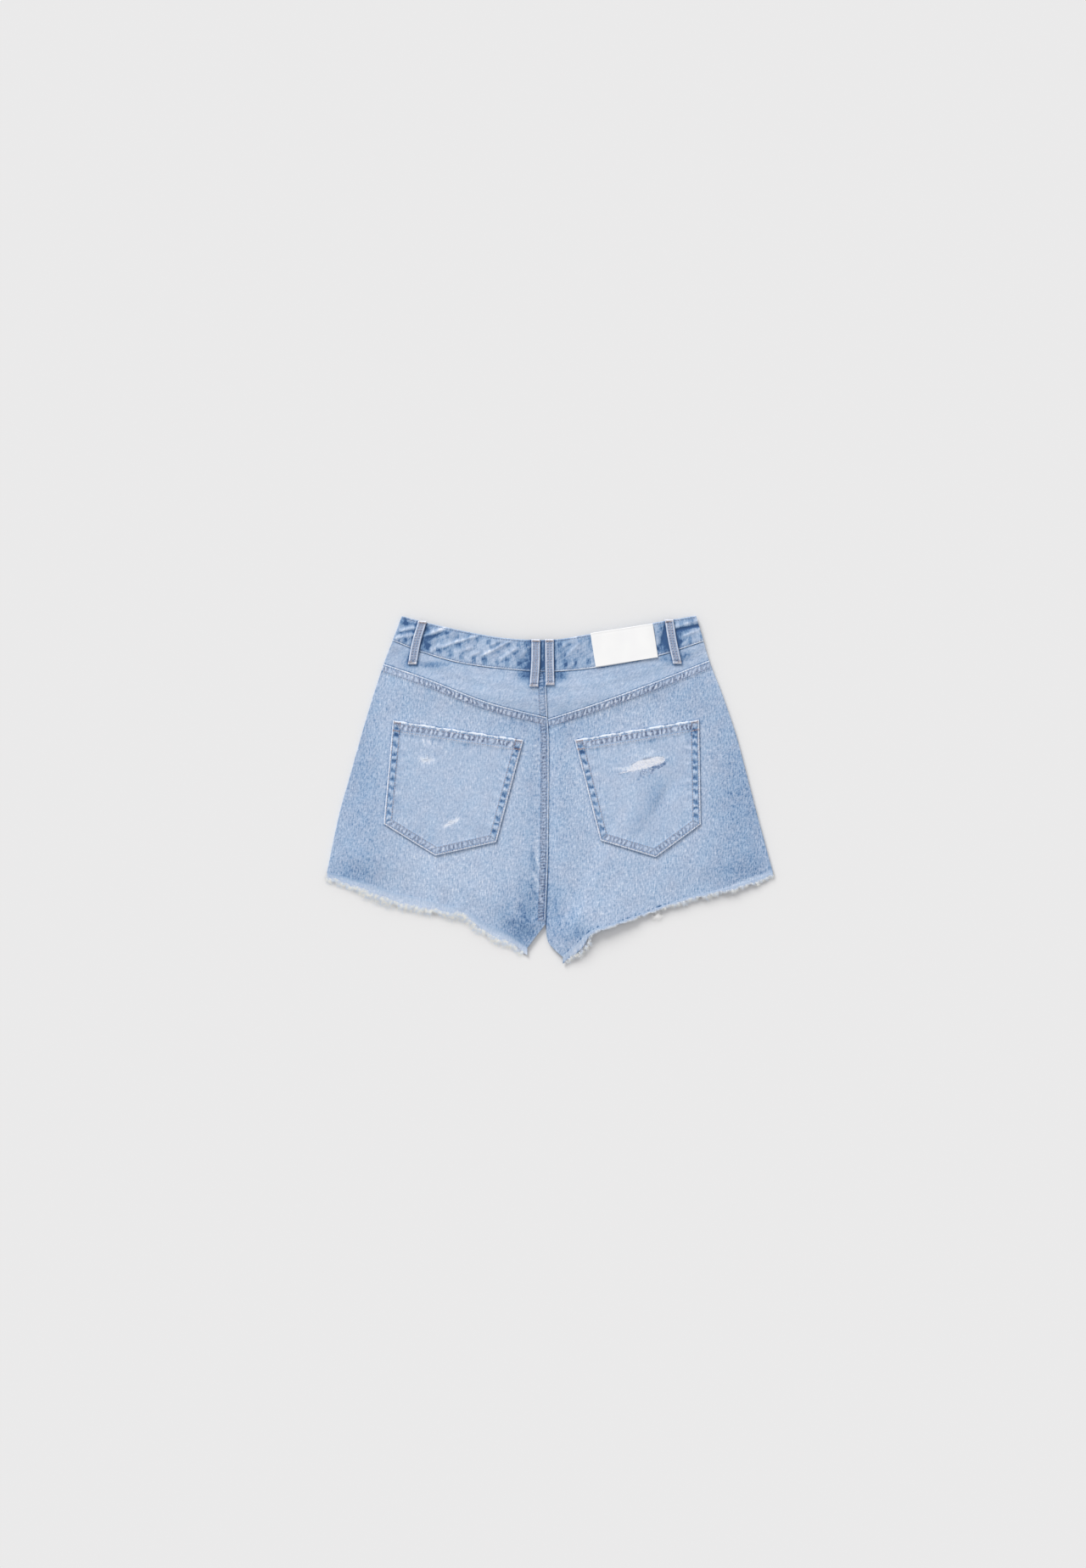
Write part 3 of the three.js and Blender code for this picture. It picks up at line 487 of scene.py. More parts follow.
pale_marks = maths(tree, "MULTIPLY", rise(tree, wave, -0.15, -0.85), strength)

# The folded edge, the rows of stitches with painted shade in the grooves that they pull, and the combed cloth
# beyond them
ragged = noise(tree, seam_place, 0.8, 30, detail=3.0)
lip_edge = maths(tree, "MULTIPLY_ADD", maths(tree, "MULTIPLY", ragged, lip_white), 9.0, across)
lip_pale = maths(tree, "MULTIPLY_ADD", lip_white, 0.3, 0.24)
lip = maths(tree, "MULTIPLY", rise(tree, lip_edge, 1.95, 0.9), lip_pale)
first_row = maths(tree, "MULTIPLY", rise(tree, across, 1.6, 2.2), rise(tree, across, 3.3, 2.6))
last_row = maths(tree, "MULTIPLY", rise(tree, across, 8.0, 8.7), rise(tree, across, 10.2, 9.4))
outside = maths(tree, "MULTIPLY", rise(tree, across, 9.6, 11), rise(tree, across, 24, 11.5))
comb = noise(tree, seam_place, 0.75, 22, turn=1)
combed = maths(tree, "MULTIPLY", maths(tree, "ADD", comb, 0.02), outside)
edges = weigh(tree, (lip, 1.0), (first_row, -0.26), (last_row, -0.2), (combed, 0.5))
edges = maths(tree, "MULTIPLY", edges, rise(tree, force, 0.0, 0.5))
seam_marks = weigh(tree, (dark_marks, -0.4), (pale_marks, 0.2), (edges, 1.0))

value = maths(tree, "MULTIPLY_ADD", speckle, given["Speckle"], given["Wash and shade"])
value = maths(tree, "MULTIPLY_ADD", marble, given["Marble"], value)
value = maths(tree, "ADD", value, seam_marks)
shades = []
for table in (CLEAR_BLUE, GREY_BLUE):
    ramp = put(tree, "ValToRGB", {0: value})
    while len(ramp.color_ramp.elements) < len(table):
        ramp.color_ramp.elements.new(0.5)
    for i, (element, shade) in enumerate(zip(ramp.color_ramp.elements, table)):
        element.position = i / (len(table) - 1)
        element.color = surface(*shade)
    shades.append(ramp.outputs[0])
deep = rise(tree, maths(tree, "SUBTRACT", value, dark_marks), 0.55, 0.1)
haze = noise(tree, cut, 17, 24, turn=-25, detail=3.0)
lane_grey = maths(tree, "MULTIPLY", maths(tree, "MULTIPLY", window, grey), rise(tree, force, 0.0, 0.5))
cast = weigh(tree, (haze, 1.3), (dark_marks, grey), (lane_grey, 0.3), (deep, -0.6), (given["Greyness"], 1.0))
blend = put(tree, "Mix", {"Factor": cast, 6: shades[0], 7: shades[1]}, data_type="RGBA", clamp_factor=True)
relief = weigh(
    tree, (twill, 0.5), (grain, 0.35), (slub, 0.25), (dark_marks, -0.5), (first_row, -0.5), (last_row, -0.4),
    (marble, 0.35)
)
given_out = tree.nodes.new("NodeGroupOutput")
tree.links.new(blend.outputs[2], given_out.inputs["Color"])
tree.links.new(relief, given_out.inputs["Height"])


def denim_material(name, speckle=1.0, marble=0.0, nap=0.12, greyness=0.36):
    """Denim whose wash, painted shade and seams come from the piece's own attributes, and its weave from its
    cut.
    """
    material, tree, shader = new_material(name)
    cut = put(tree, "UVMap", uv_map="cut").outputs[0]
    cut = put(tree, "VectorMath", {0: cut, "Scale": 100}, operation="SCALE").outputs[0]
    denim = put(tree, "Group", node_tree=denim_group)
    tree.links.new(cut, denim.inputs["Cut"])
    tree.links.new(put(tree, "Attribute", attribute_name="wash").outputs["Fac"], denim.inputs["Wash and shade"])
    tree.links.new(put(tree, "Attribute", attribute_name="seam").outputs["Vector"], denim.inputs["Seam"])
    tree.links.new(put(tree, "Attribute", attribute_name="style").outputs["Vector"], denim.inputs["Style"])
    denim.inputs["Speckle"].default_value = speckle
    denim.inputs["Marble"].default_value = marble
    denim.inputs["Greyness"].default_value = greyness
    bump = put(tree, "Bump", {"Height": denim.outputs["Height"], "Strength": 0.5, "Distance": 0.0008})
    tree.links.new(denim.outputs["Color"], shader.inputs["Base Color"])
    tree.links.new(bump.outputs[0], shader.inputs["Normal"])
    shader.inputs["Roughness"].default_value = 0.92
    shader.inputs["Specular IOR Level"].default_value = 0.2
    shader.inputs["Sheen Weight"].default_value = nap
    shader.inputs["Sheen Roughness"].default_value = 0.6
    return material


leg_denim = [denim_material("leg_denim_left"), denim_material("leg_denim_right", speckle=1.06)]
inner_denim = denim_material("inner_denim", speckle=0.7)
nap_denim = denim_material("nap_denim", speckle=0.5, nap=0.3, greyness=0.05)

# Where the wash left the cloth darker or paler: middle x, y, reach in x, in y, amount
leg_wash = [
    (-222, -10, 34, 130, -0.15),
    (232, -10, 44, 130, -0.22),
    (-236, -99, 36, 15, -0.19),
    (225, -100, 40, 20, -0.12),
    (-46, -160, 14, 9, -0.14),
    (30, -172, 22, 12, -0.17),
    (-34, -150, 26, 44, -0.28),
    (-34, -178, 18, 14, -0.1),
    (8, -150, 20, 46, -0.15),
    (-128, -105, 80, 34, 0.06),
    (-22, 0, 12, 70, -0.1),
    (14, -10, 14, 90, -0.07),
    (-40, 74, 40, 14, -0.12),
    (30, 72, 34, 14, -0.12),
    (-165, 104, 40, 22, -0.06),
    (160, 108, 40, 30, -0.1),
    (160, -95, 40, 22, -0.04),
    (-7, -110, 5, 60, -0.12),
    (-7, 40, 5, 60, -0.08),
    (-20, -92, 5, 34, -0.12),
]

# Painted light and shade along the creases round the crotch: from x, y to x, y, width, amount
crotch_crease_light_and_shade = [
    (-17.5, -62, -15.5, -84, 1.4, 0.24),
    (-16.5, -80, -12.6, -96, 1.3, 0.3),
    (-21, -98, -12, -118, 1.6, 0.28),
    (-17, -118, -9, -134, 1.4, 0.22),
    (-26, -110, -15, -130, 2.0, -0.16),
    (-23, -72, -20, -96, 2.6, -0.14),
    (-46, -92, -42, -150, 5.0, 0.08),
    (-34, -138, -22, -174, 4.0, -0.12),
    (4, -128, 10, -160, 2.6, -0.1),
    (12, -96, 22, -140, 4.0, 0.08),
    (26, -142, 32, -172, 3.0, -0.1),
]


def spots(rows, x, y):
    total = np.zeros_like(x)
    for mid_x, mid_y, reach_x, reach_y, amount in rows:
        total += amount * bell(np.hypot((x - mid_x) / reach_x, (y - mid_y) / reach_y))
    return total


def columns(*values):
    """Three values for each point, side by side."""
    return np.stack(np.broadcast_arrays(*values), 1).astype(float)


FAR = 99.0  # from any seam


def unseamed(x):
    """The seam and style of cloth that has no felled seam."""
    return columns(x, FAR, 0.0), columns(0 * x, 0.0, 0.0)


def nearest_edge(x, y, corners):
    """Along and across the nearest edge of a five-sided piece; across is positive inside."""
    best_across = np.full(x.shape, 1e9)
    best_along = np.zeros(x.shape)
    best_edge = np.zeros(x.shape, int)
    for i, (x1, y1) in enumerate(corners):
        x2, y2 = corners[(i + 1) % len(corners)]
        long = math.hypot(x2 - x1, y2 - y1)
        ux, uy = (x2 - x1) / long, (y2 - y1) / long
        across = (x - x1) * uy - (y - y1) * ux
        along = (x - x1) * ux + (y - y1) * uy
        nearer = across < best_across
        best_across = np.where(nearer, across, best_across)
        best_along = np.where(nearer, along, best_along)
        best_edge = np.where(nearer, i, best_edge)
    return best_along, best_across, best_edge


# Corners of the pockets, clockwise from the top left as seen
pocket_left_corners = [(-186, 81), (-32, 58), (-64, -62.5), (-136, -78.6), (-197, -41)]
pocket_right_corners = [(28, 58), (175, 82), (177, -41.5), (124, -80.4), (58.5, -60.5)]


def felled(across):
    """The rise of a felled seam, at a distance in from its folded edge."""
    return SEAM_RISE * (1 - ease((across - 9.6) / 1.4)) + rounded(across, 0.6) * 0.8


YOKE_PITCH = 5.2  # from pucker to pucker
CENTRE_PITCH = 4.0


def beats(along, pitch):
    """Counts the puckers along a seam, which are uneven in length."""
    return (along + 0.9 * np.sin(along * 0.23 + 1) + 0.45 * np.sin(along * 0.61)) / pitch


def puckers(beat, across):
    """Small ripples that the two rows of stitches pull across a felled seam, and a little beyond it."""
    window = ease((across - 1.4) / 1.8) * (1 - ease((across - 8) / 2))
    beyond = ease((across - 10) / 2) * (1 - ease((across - 11) / 15))
    return -np.sin(math.tau * beat) * (0.17 * window + 0.1 * beyond)


def leg_seams(x, y, yoke, felled_middle):
    """The nearest folded seam of a leg: the puckers along it, how far in from its edge, which one."""
    slope = float(yoke(90.0) - yoke(-90.0)) / 180
    top_across = (yoke(x) - SEAM_GAP / 2 - y) / math.hypot(1, slope)
    if not felled_middle:
        return beats(x, YOKE_PITCH), top_across, np.zeros(x.shape, bool)
    middle_across = centre_seam(y) - SEAM_GAP / 2 - x + ease((CROTCH_Y + 6 - y) / 8) * 30
    middle = middle_across < top_across
    beat = np.where(middle, beats(y, CENTRE_PITCH), beats(x, YOKE_PITCH))
    return beat, np.where(middle, middle_across, top_across), middle


# How far the loosened nap of the back reaches past each hem: across, length
nap_left = through(
    (-264, 7), (-226, 9), (-194, 10.5), (-162, 11.5), (-130, 9.5), (-98, 7), (-66, 12), (-46, 11), (-27, 9)
)
nap_right = through(
    (14, 8.5), (22, 9.5), (36, 10), (52, 3), (84, 1.4), (164, 1.4), (196, 1.4), (212, 3.2), (262, 3.6)
)

# How far inside each hem the nap starts: across, length
nap_start = through(
    (-264, 0), (-210, 0), (-170, 1.5), (-110, 1), (-80, -1.5), (-40, -1.5), (-27, 0), (14, 2), (40, 2),
    (60, 1), (150, 1.5), (205, 2), (230, 4.5), (262, 4)
)


def nap_end(x, nap):
    """How far the nap reaches past the hem, in waves."""
    return np.maximum(nap(x) + 0.8 * np.sin(x * 0.21 + 1) + 0.6 * np.sin(x * 0.53), 0.3)


def tuft_turn(x):
    """The turn of the waves that gather the loose ends in tufts, along a hem."""
    return 1.4 * x + 2 * np.sin(x * 0.31)


def hem_wash(wash, x, off_hem, ended):
    """The wash near a frayed edge: paler towards the end of its nap, which lies some way past the hem."""
    share = (off_hem + ended) / (ended + nap_start(x))
    pale = mix(0.69 + 0.022 * ended, 0.68, np.clip(share, 0, 1))
    wash = wash - 0.05 * bell((share - 1.35) / 0.2)
    return mix(wash, pale, 1 - ease((share - 0.72) / 0.45))


CROTCH_SHARE = 0.125  # of a leg's inner edge lies below the crotch
CROTCH_TOP = -3.5  # where the centre seam meets the yoke, across
HEM_OUTER_Y = -99


def climb(t, low, high):
    """Heights up a leg's inner edge: to the crotch, and from there to its top."""
    below = mix(low, CROTCH_Y, t / CROTCH_SHARE)
    return np.where(t < CROTCH_SHARE, below, mix(CROTCH_Y, high, (t - CROTCH_SHARE) / (1 - CROTCH_SHARE)))


def leg(name, left):
    """One back leg, with its looks."""
    yoke = yoke_left if left else yoke_right
    hem, nap = (hem_left, nap_left) if left else (hem_right, nap_right)
    pocket = pocket_left_corners if left else pocket_right_corners
    ragged = np.cumsum(rng.normal(0, 0.35, 600))
    ragged -= np.linspace(0, ragged[-1], 600)

    def ragged_hem(x, t_hem):
        return hem(x) + np.interp(x, np.linspace(-270, 270, 600), np.clip(ragged, -1, 1)) * t_hem

    ends = (-264, -27, -196.8, -3.7) if left else (14, 262.5, -3.3, 187)
    tip_y, inseam, half_gap = (-187, inseam_left, -SEAM_GAP / 2) if left else (-198, inseam_right, SEAM_GAP / 2)

    def inner(t):
        y = climb(t, tip_y, yoke(CROTCH_TOP) - SEAM_GAP / 2)
        return point(np.where(y < CROTCH_Y, inseam(y), centre_seam(y) + half_gap), y)

    def outer(t):
        y = mix(HEM_OUTER_Y, yoke(ends[2] if left else ends[3]) - SEAM_GAP / 2, t)
        return point(side_left(y) if left else side_right(y), y)

    def foot(s):
        x = mix(ends[0], ends[1], s)
        return point(x, ragged_hem(x, ease(np.minimum(s, 1 - s) * 20)))

    def head(s):
        x = mix(ends[2], ends[3], s)
        return point(x, yoke(x) - SEAM_GAP / 2)

    plan = panel(outer, inner, foot, head) if left else panel(inner, outer, foot, head)

    def over(x, y, s, t):
        beat, across, middle = leg_seams(x, y, yoke, left)
        edge = np.minimum(s, 1 - s) * 225 if not left else s * 225
        return back_over(x, y) + felled(across) + puckers(beat, across) + rounded(edge, 0.5) * 0.5

    def looks(x, y, s, t):
        beat, across, middle = leg_seams(x, y, yoke, left)
        # Patches of wash, and the painted light and shade along the creases round the crotch
        wash = 0.63 + spots(leg_wash, x, y) + ridges(crotch_crease_light_and_shade, x, y)
        off_hem = y - hem(x)
        wash = hem_wash(wash, x, off_hem, nap_end(x, nap))
        notches = ease(np.sin(x * 0.9 + np.sin(x * 0.37) * 2) * 2 - 0.6) * (x > 12) * (x < 150)
        wash -= mix(0.55, 0.45, ease((x - 50) / 10)) * notches * bell((off_hem - 1.6) / 1.6)
        # A narrow dark band along the pocket's edge, just outside it: painted shade under the raised pocket.
        outside = -nearest_edge(x, y, pocket)[1]
        wash -= 0.34 * (1 - ease(outside / 1.6)) * (outside > -3)
        wash += 0.04 * bell(outside / 10)
        # On the right leg, a dark line along the left leg's felled edge, which lies over it: painted shadow,
        # deeper towards the crotch.
        if not left:
            lip = mix(0.3, 0.7, ease((-50 - y) / 70))
            wash -= lip * (1 - ease((x - centre_seam(y)) / 1.9)) * (y > CROTCH_Y - 5)
        wash -= 0.08 * middle * (1 - ease((across - 9) / 4)) * ease(across / 2)
        strength = np.where(middle, 0.5, mix(0.6, 1.0, bell((abs(x) - 80) / 70)))
        return wash, columns(beat, across, strength), columns(0 * x, 0.0, 1.5)

    node = "back_panel_left" if left else "back_panel_right"
    materials = [leg_denim[0 if left else 1], inner_denim]
    return cloth(name, plan, (225, 262), over, DENIM, materials, looks, [node])


back_left = leg("leg_back_left", True)
back_right = leg("leg_back_right", False)

# Where the belt loops of the back lie: name, across at the top, in the middle and at the end, end
loop_rows = [
    ("left", -151, -158.5, -163.2, 147),
    ("centre_left", -17.4, -17.8, -19.8, 120.5),
    ("centre_right", -1.4, -1.2, -0.6, 122.5),
    ("right", 139.5, 143.8, 149.6, 147.5),
]
LOOP_WIDE = 10.5


def loop_line(top_y, top, middle, end_y, low):
    """A belt loop's middle line: how far across it lies at a height."""
    return through((top_y, top), ((top_y + end_y) / 2, middle), (end_y, low))


def shade_beside_loops(x, y):
    """How much painted shade darkens the cloth close beside the belt loops."""
    total = np.zeros_like(x)
    for side, top, middle, low, end_y in loop_rows:
        line = loop_line(200, top, middle, end_y, low)
        off = np.maximum(abs(x - line(y)) - LOOP_WIDE / 2, 0)
        total = np.maximum(total, bell(off / 1.7) * ease((y - end_y + 3) / 4))
    return total


# Yoke
# Two curved pieces of the same twill between the legs and the waistband, cut on the slant so that
# the wash has streaked them. The left half is felled over the right one.
YOKE_SLANT = math.radians(24)
yoke_denim = denim_material("yoke_denim", speckle=0.6, marble=0.2)
yoke_wash = [
    (-9, 130, 13, 16, -0.34),
    (-31, 134, 9, 6, -0.56),
    (12, 134, 8, 6, -0.5),
    (-165, 150, 8, 9, -0.34),
    (-141, 146.5, 17, 4, -0.42),
    (150, 152, 8, 8, -0.34),
    (136, 154, 7, 4.5, -0.34),
    (160, 158, 7, 5, -0.34),
    (-185, 160, 14, 12, -0.08),
    (84, 138, 44, 6, -0.06),
    (-90, 122, 50, 12, 0.04),
    (66, 118, 50, 12, 0.02),
]


def yoke_half(name, left):
    """One half of the yoke."""
    edge = yoke_left if left else yoke_right
    ends = (-196.8, -3.7, -186.5, -6.2) if left else (-3.3, 187, -5.8, 180.5)

    def inner(t):
        y = mix(edge(CROTCH_TOP) + SEAM_GAP / 2, band_seam(-6) - SEAM_GAP / 2, t)
        return point(centre_seam(y) + SEAM_GAP / 2 * (-1 if left else 1), y)

    def outer(t):
        y = mix(edge(ends[0] if left else ends[1]) + SEAM_GAP / 2, band_seam(ends[2] if left else ends[3]), t)
        return point(side_left(y) if left else side_right(y), y)

    def foot(s):
        x = mix(ends[0], ends[1], s)
        return point(x, edge(x) + SEAM_GAP / 2)

    def head(s):
        x = mix(ends[2], ends[3], s)
        return point(x, band_seam(x) - SEAM_GAP / 2)

    plan = panel(outer, inner, foot, head) if left else panel(inner, outer, foot, head)

    def over(x, y, s, t):
        across = centre_seam(y) - x if left else np.full(x.shape, FAR)
        side = (s if left else 1 - s) * 190
        seam = felled(across) + puckers(beats(y, CENTRE_PITCH), across)
        return back_over(x, y) + seam * left + rounded(side, 0.5) * 0.5

    def looks(x, y, s, t):
        # The cloth beside the belt loops is darkened with painted shade. Thin lines just above the legs' folded
        # edges and just below the waistband's edge are painted shadow of those raised edges.
        wash = 0.61 + spots(yoke_wash, x, y) - 0.3 * shade_beside_loops(x, y)
        wash -= 0.42 * (1 - ease((y - edge(x)) / 1.7))
        wash -= 0.42 * (1 - ease((band_seam(x) - y) / 2.0))
        # The right half gets a dark line along the left half's felled edge, which lies over it: painted shadow.
        if not left:
            return wash - 0.3 * (1 - ease((x - centre_seam(y)) / 1.8)), *unseamed(x)
        return wash, columns(beats(y, CENTRE_PITCH), centre_seam(y) - x, 0.5), columns(0 * x, 0.0, 0.6)

    def slanted(x, y, s, t):
        across, up = math.cos(YOKE_SLANT), math.sin(YOKE_SLANT)
        return [x * across - y * up, x * up + y * across]

    node = "yoke_left" if left else "yoke_right"
    return cloth(
        name, plan, (192, 50), over, DENIM, [yoke_denim, inner_denim], looks, [node], grain=slanted
    )


yoke_halves = [yoke_half("yoke_half_left", True), yoke_half("yoke_half_right", False)]

# Waistband, back
# One strip of twill folded double, turned under along both edges and stitched close to them. It was
# washed hardest of all, which marbled it along its puckers.
BAND_TALL = 37
BAND_LONG = 367
band_denim = denim_material("band_denim", speckle=0.62, marble=0.36)
waist_edge = through(
    (-175.5, 204), (-145, 196), (-105, 187), (-65, 179.5), (-25, 176), (7, 176.5), (45, 182.5), (85, 188.5),
    (127, 197), (171.5, 204.5)
)
band_wash = [
    (-10, 157, 12, 30, -0.34),
    (-30, 156, 7, 26, -0.16),
    (14, 158, 10, 26, -0.2),
    (-148, 178, 9, 24, -0.22),
    (-168, 182, 8, 22, -0.04),
    (134, 180, 8, 24, -0.18),
    (154, 184, 8, 24, -0.14),
    (168, 196, 8, 6, -0.2),
    (-172, 196, 7, 8, -0.2),
    (40, 162, 12, 30, -0.06),
    (-112, 180, 40, 5, -0.12),
    (-90, 160, 40, 8, 0.08),
]


def band_end(side, end_x, top_y):
    """One end of the waistband, up a side of the back."""
    low_y = band_seam(end_x)
    return lambda t: point(side(mix(low_y, top_y, t)), mix(low_y + SEAM_GAP / 2, top_y, t))


band_panel = panel(
    band_end(side_left, -186.5, 204),
    band_end(side_right, 180.5, 204.5),
    lambda s: point(mix(-186.5, 180.5, s), band_seam(mix(-186.5, 180.5, s)) + SEAM_GAP / 2),
    lambda s: point(mix(-175.5, 171.5, s), waist_edge(mix(-175.5, 171.5, s))),
)


# Creases of the waistband: from x, y to x, y, width, rise; and the pale wear and painted shade laid along them
band_creases = [
    (-131, 166.5, -110, 174, 1.6, 0.6),
    (-112, 173, -86, 181, 1.5, 0.8),
    (-150, 181, -125, 189, 2.4, 0.6),
    (-94, 158, -84, 162, 1.5, 0.5),
    (-140, 163, -130, 170, 2.0, 0.5),
    (-70, 170, -58, 176, 1.6, 0.4),
    (-80, 157.5, -48, 174.5, 1.6, 0.7),
    (-58, 154, -41, 166, 1.6, 0.5),
    (-143, 182, -126, 190, 2.4, 0.6),
    (-176, 187, -158, 191, 1.8, 0.7),
    (-182, 178, -160, 183, 2.2, 0.5),
    (-104, 163, -92, 168, 2.0, 0.4),
    (-36, 156, -24, 170, 2.2, 0.4),
    (147, 187, 176, 193, 1.7, -0.9),
    (146, 191, 174, 199, 2.0, 0.6),
    (158, 181, 178, 189, 1.5, 0.5),
    (129, 164, 135, 190, 2.4, -0.6),
    (20, 158, 34, 172, 1.8, 0.5),
    (14, 168, 30, 180, 1.8, 0.4),
]
# Pale wear on the creases' ridges, and painted shade in their troughs.
band_crease_wear_and_shade = [(x1, y1, x2, y2, width, rise * 0.5) for x1, y1, x2, y2, width, rise in band_creases]
# A dark line just below each of the first twelve creases: painted shadow.
band_crease_wear_and_shade += [(x1 + 1, y1 - 3, x2 + 2, y2 - 3, 2.6, -0.2) for x1, y1, x2, y2, *_ in band_creases[:12]]
# Dark lines beside the belt loops, which are painted shade, and more along creases near both ends of the band.
band_crease_wear_and_shade += [
    (148, 187.5, 175, 193.5, 1.8, -0.35),
    (146, 166, 152, 186, 4, -0.3),
    (133, 164, 137, 192, 3.5, -0.3),
    (-146, 168, -143, 186, 5, -0.28),
    (-29, 142, -27, 174, 4, -0.2),
    (-178, 197, -162, 194, 2.6, -0.3),
    (-181, 184, -164, 187, 1.8, -0.2),
]


def band_over(x, y):
    return back_under(x, y) + BAND


def band_relief(x, y, s, t):
    low, high = t * BAND_TALL, (1 - t) * BAND_TALL
    wave = np.sin(x * 0.52 + y * 0.31 + np.sin(x * 0.09) * 2.2)
    slow = np.sin(x * 0.23 - y * 0.12 + np.sin(x * 0.05) * 1.7)
    middle = ease(low / 5) * ease(high / 5)
    height = band_over(x, y) + (0.16 * wave + 0.16 * slow + ridges(band_creases, x, y)) * middle
    rows = bell((low - 2) / 0.8) + bell((high - 2) / 0.8)
    return height - 0.22 * rows + rounded(low, 0.8) + rounded(high, 1.0) + rounded(s * BAND_LONG, 0.8)


def band_looks(x, y, s, t):
    # The cloth beside the belt loops is darkened with painted shade.
    wash = 0.56 + spots(band_wash, x, y) - 0.42 * shade_beside_loops(x, y)
    low, high = t * BAND_TALL, (1 - t) * BAND_TALL
    wash += 0.4 * (1 - ease((low - 0.9) / 0.7)) - 0.2 * bell((low - 2.1) / 0.7)
    wash += 0.12 * (1 - ease(high / 1.0)) - 0.16 * bell((high - 2.2) / 0.9)
    wash -= 0.34 * ease(np.sin(math.tau * beats(x, 13.5)) * 1.8) * bell((low - 7.5) / 4.5)
    wash -= 0.26 * ease(np.sin(math.tau * beats(x + 5, 12)) * 1.8) * bell((high - 7) / 3.6)
    wash -= 0.14 * ease(np.sin(math.tau * beats(x + y, 19)) * 1.6) * bell((low - 19) / 7)
    # The creases' pale wear, with their painted shade and the painted shadow below them.
    return wash + ridges(band_crease_wear_and_shade, x, y), *unseamed(x)


waistband = cloth(
    "waistband_back_strip", band_panel, (BAND_LONG, BAND_TALL), band_relief, BAND, [band_denim], band_looks,
    ["waistband_back"], step=1.15
)

# Patch pockets
# Five-sided pockets of a slightly paler twill, turned under all round, with a hem across the top.
# The right one is ripped through across its weft, and the left one is rubbed thin in two places.
POCKET = 1.3
HEM_RISE = 0.5
pocket_denim = denim_material("pocket_denim", speckle=0.8)
# Darker and paler patches on the pockets: middle x, y, reach in x, in y, amount. The second is painted shade
# along a soft fold across the right pocket.
pocket_wash = [
    (-110, 10, 70, 60, 0.03),
    (128, -20, 12, 34, -0.09),
    (76, 4, 24, 60, 0.03),
    (166, 40, 8, 50, -0.05),
    (-182, 20, 6, 60, -0.06),
]
# Lines on the pockets: from x, y to x, y, width, amount. The first three are painted shade along a soft fold
# across the right pocket and painted light on both sides of it. The rest are pale lines on the left pocket,
# some where it is rubbed.
pocket_crease_shade_and_wear = [
    (128, 0, 100, -48, 8, -0.1),
    (140, -6, 126, -36, 7, 0.05),
    (96, 0, 84, -34, 8, 0.04),
    (-152, 35, -139, 33, 2.6, 0.22),
    (-125, -44, -109, -35.5, 2.0, 0.4),
    (-146, 58, -138, 48, 1.4, 0.2),
    (-152, 62, -147, 50, 1.4, 0.2),
    (-96, 20, -88, -30, 9, 0.04),
]
rubbed = [
    (-149, 36, 10, 7, 0.11),
    (-146, 33, 6, 4, 0.12),
    (-119, -40, 8, 4, 0.1),
    (-116, -39, 5, 3, 0.12),
]
ripped = [
    (104, 37, 16, 6, 0.12),
    (118, 43, 5, 4, 0.22),
    (90, 23.5, 12, 3, 0.3),
    (109, 21, 9, 5, 0.08),
    (105, 16, 1.4, 1.3, -0.3),
    (109, 13.5, 1.6, 1.1, -0.3),
    (103, 11, 2.2, 0.9, -0.24),
    (116, 15.5, 1.3, 1.5, -0.3),
    (78, 20, 10, 1.2, -0.16),
]
RIP_X, RIP_Y = 115, 30.4
RIP_LONG, RIP_TALL = 18.5, 5.0
RIP_TILT = 0.24


def rip_place(x, y):
    """A point's place in the rip: along it and across it."""
    along = (x - RIP_X) * math.cos(RIP_TILT) + (y - RIP_Y) * math.sin(RIP_TILT)
    across = (y - RIP_Y) * math.cos(RIP_TILT) - (x - RIP_X) * math.sin(RIP_TILT)
    return along, across


def rip_reach(turn):
    return 1 + 0.06 * np.sin(turn * 5) + 0.04 * np.sin(turn * 11 + 1)


def rip_plan(along, across):
    """The point at a place in the rip."""
    return (RIP_X + along * math.cos(RIP_TILT) - across * math.sin(RIP_TILT),
            RIP_Y + along * math.sin(RIP_TILT) + across * math.cos(RIP_TILT))


def in_rip(x, y):
    along, across = rip_place(x, y)
    turn = np.arctan2(across / RIP_TALL, along / RIP_LONG)
    return np.hypot(along / RIP_LONG, across / RIP_TALL) < rip_reach(turn)


def rip_edge(x, y):
    """The place on the rip's edge that lies outward of a point."""
    along, across = rip_place(x, y)
    turn = np.arctan2(across / RIP_TALL, along / RIP_LONG)
    return rip_plan(RIP_LONG * np.cos(turn) * rip_reach(turn), RIP_TALL * np.sin(turn) * rip_reach(turn))


POCKET_PITCHES = np.array([6.0, 9.3, 5.4, 5.2, 10.2])  # from pucker to pucker, on each edge


def pocket_lane(x, y, corners):
    """The puckers along the nearest edge, how far in it is, and which it is. The hem counts as narrower."""
    along, across, edge = nearest_edge(x, y, corners)
    return beats(along, POCKET_PITCHES[edge]), across * np.where(edge == 0, 0.8, 1), edge


def spots_along(beat):
    """Uneven patches along a seam."""
    return 0.5 + 0.5 * np.sin(beat * 1.9 + np.sin(beat * 0.7) * 2)


# Dark corners just below the bar tacks: middle x, y, reach in x, in y, amount
pocket_corners_wash = [
    (-180, 66, 5, 4, 0.34),
    (-40, 46, 5, 4, 0.3),
    (36, 45, 5, 4, 0.34),
    (168, 67, 5, 4, 0.36),
]


def pocket_over(x, y):
    return back_over(x, y) + LAYER_GAP + POCKET


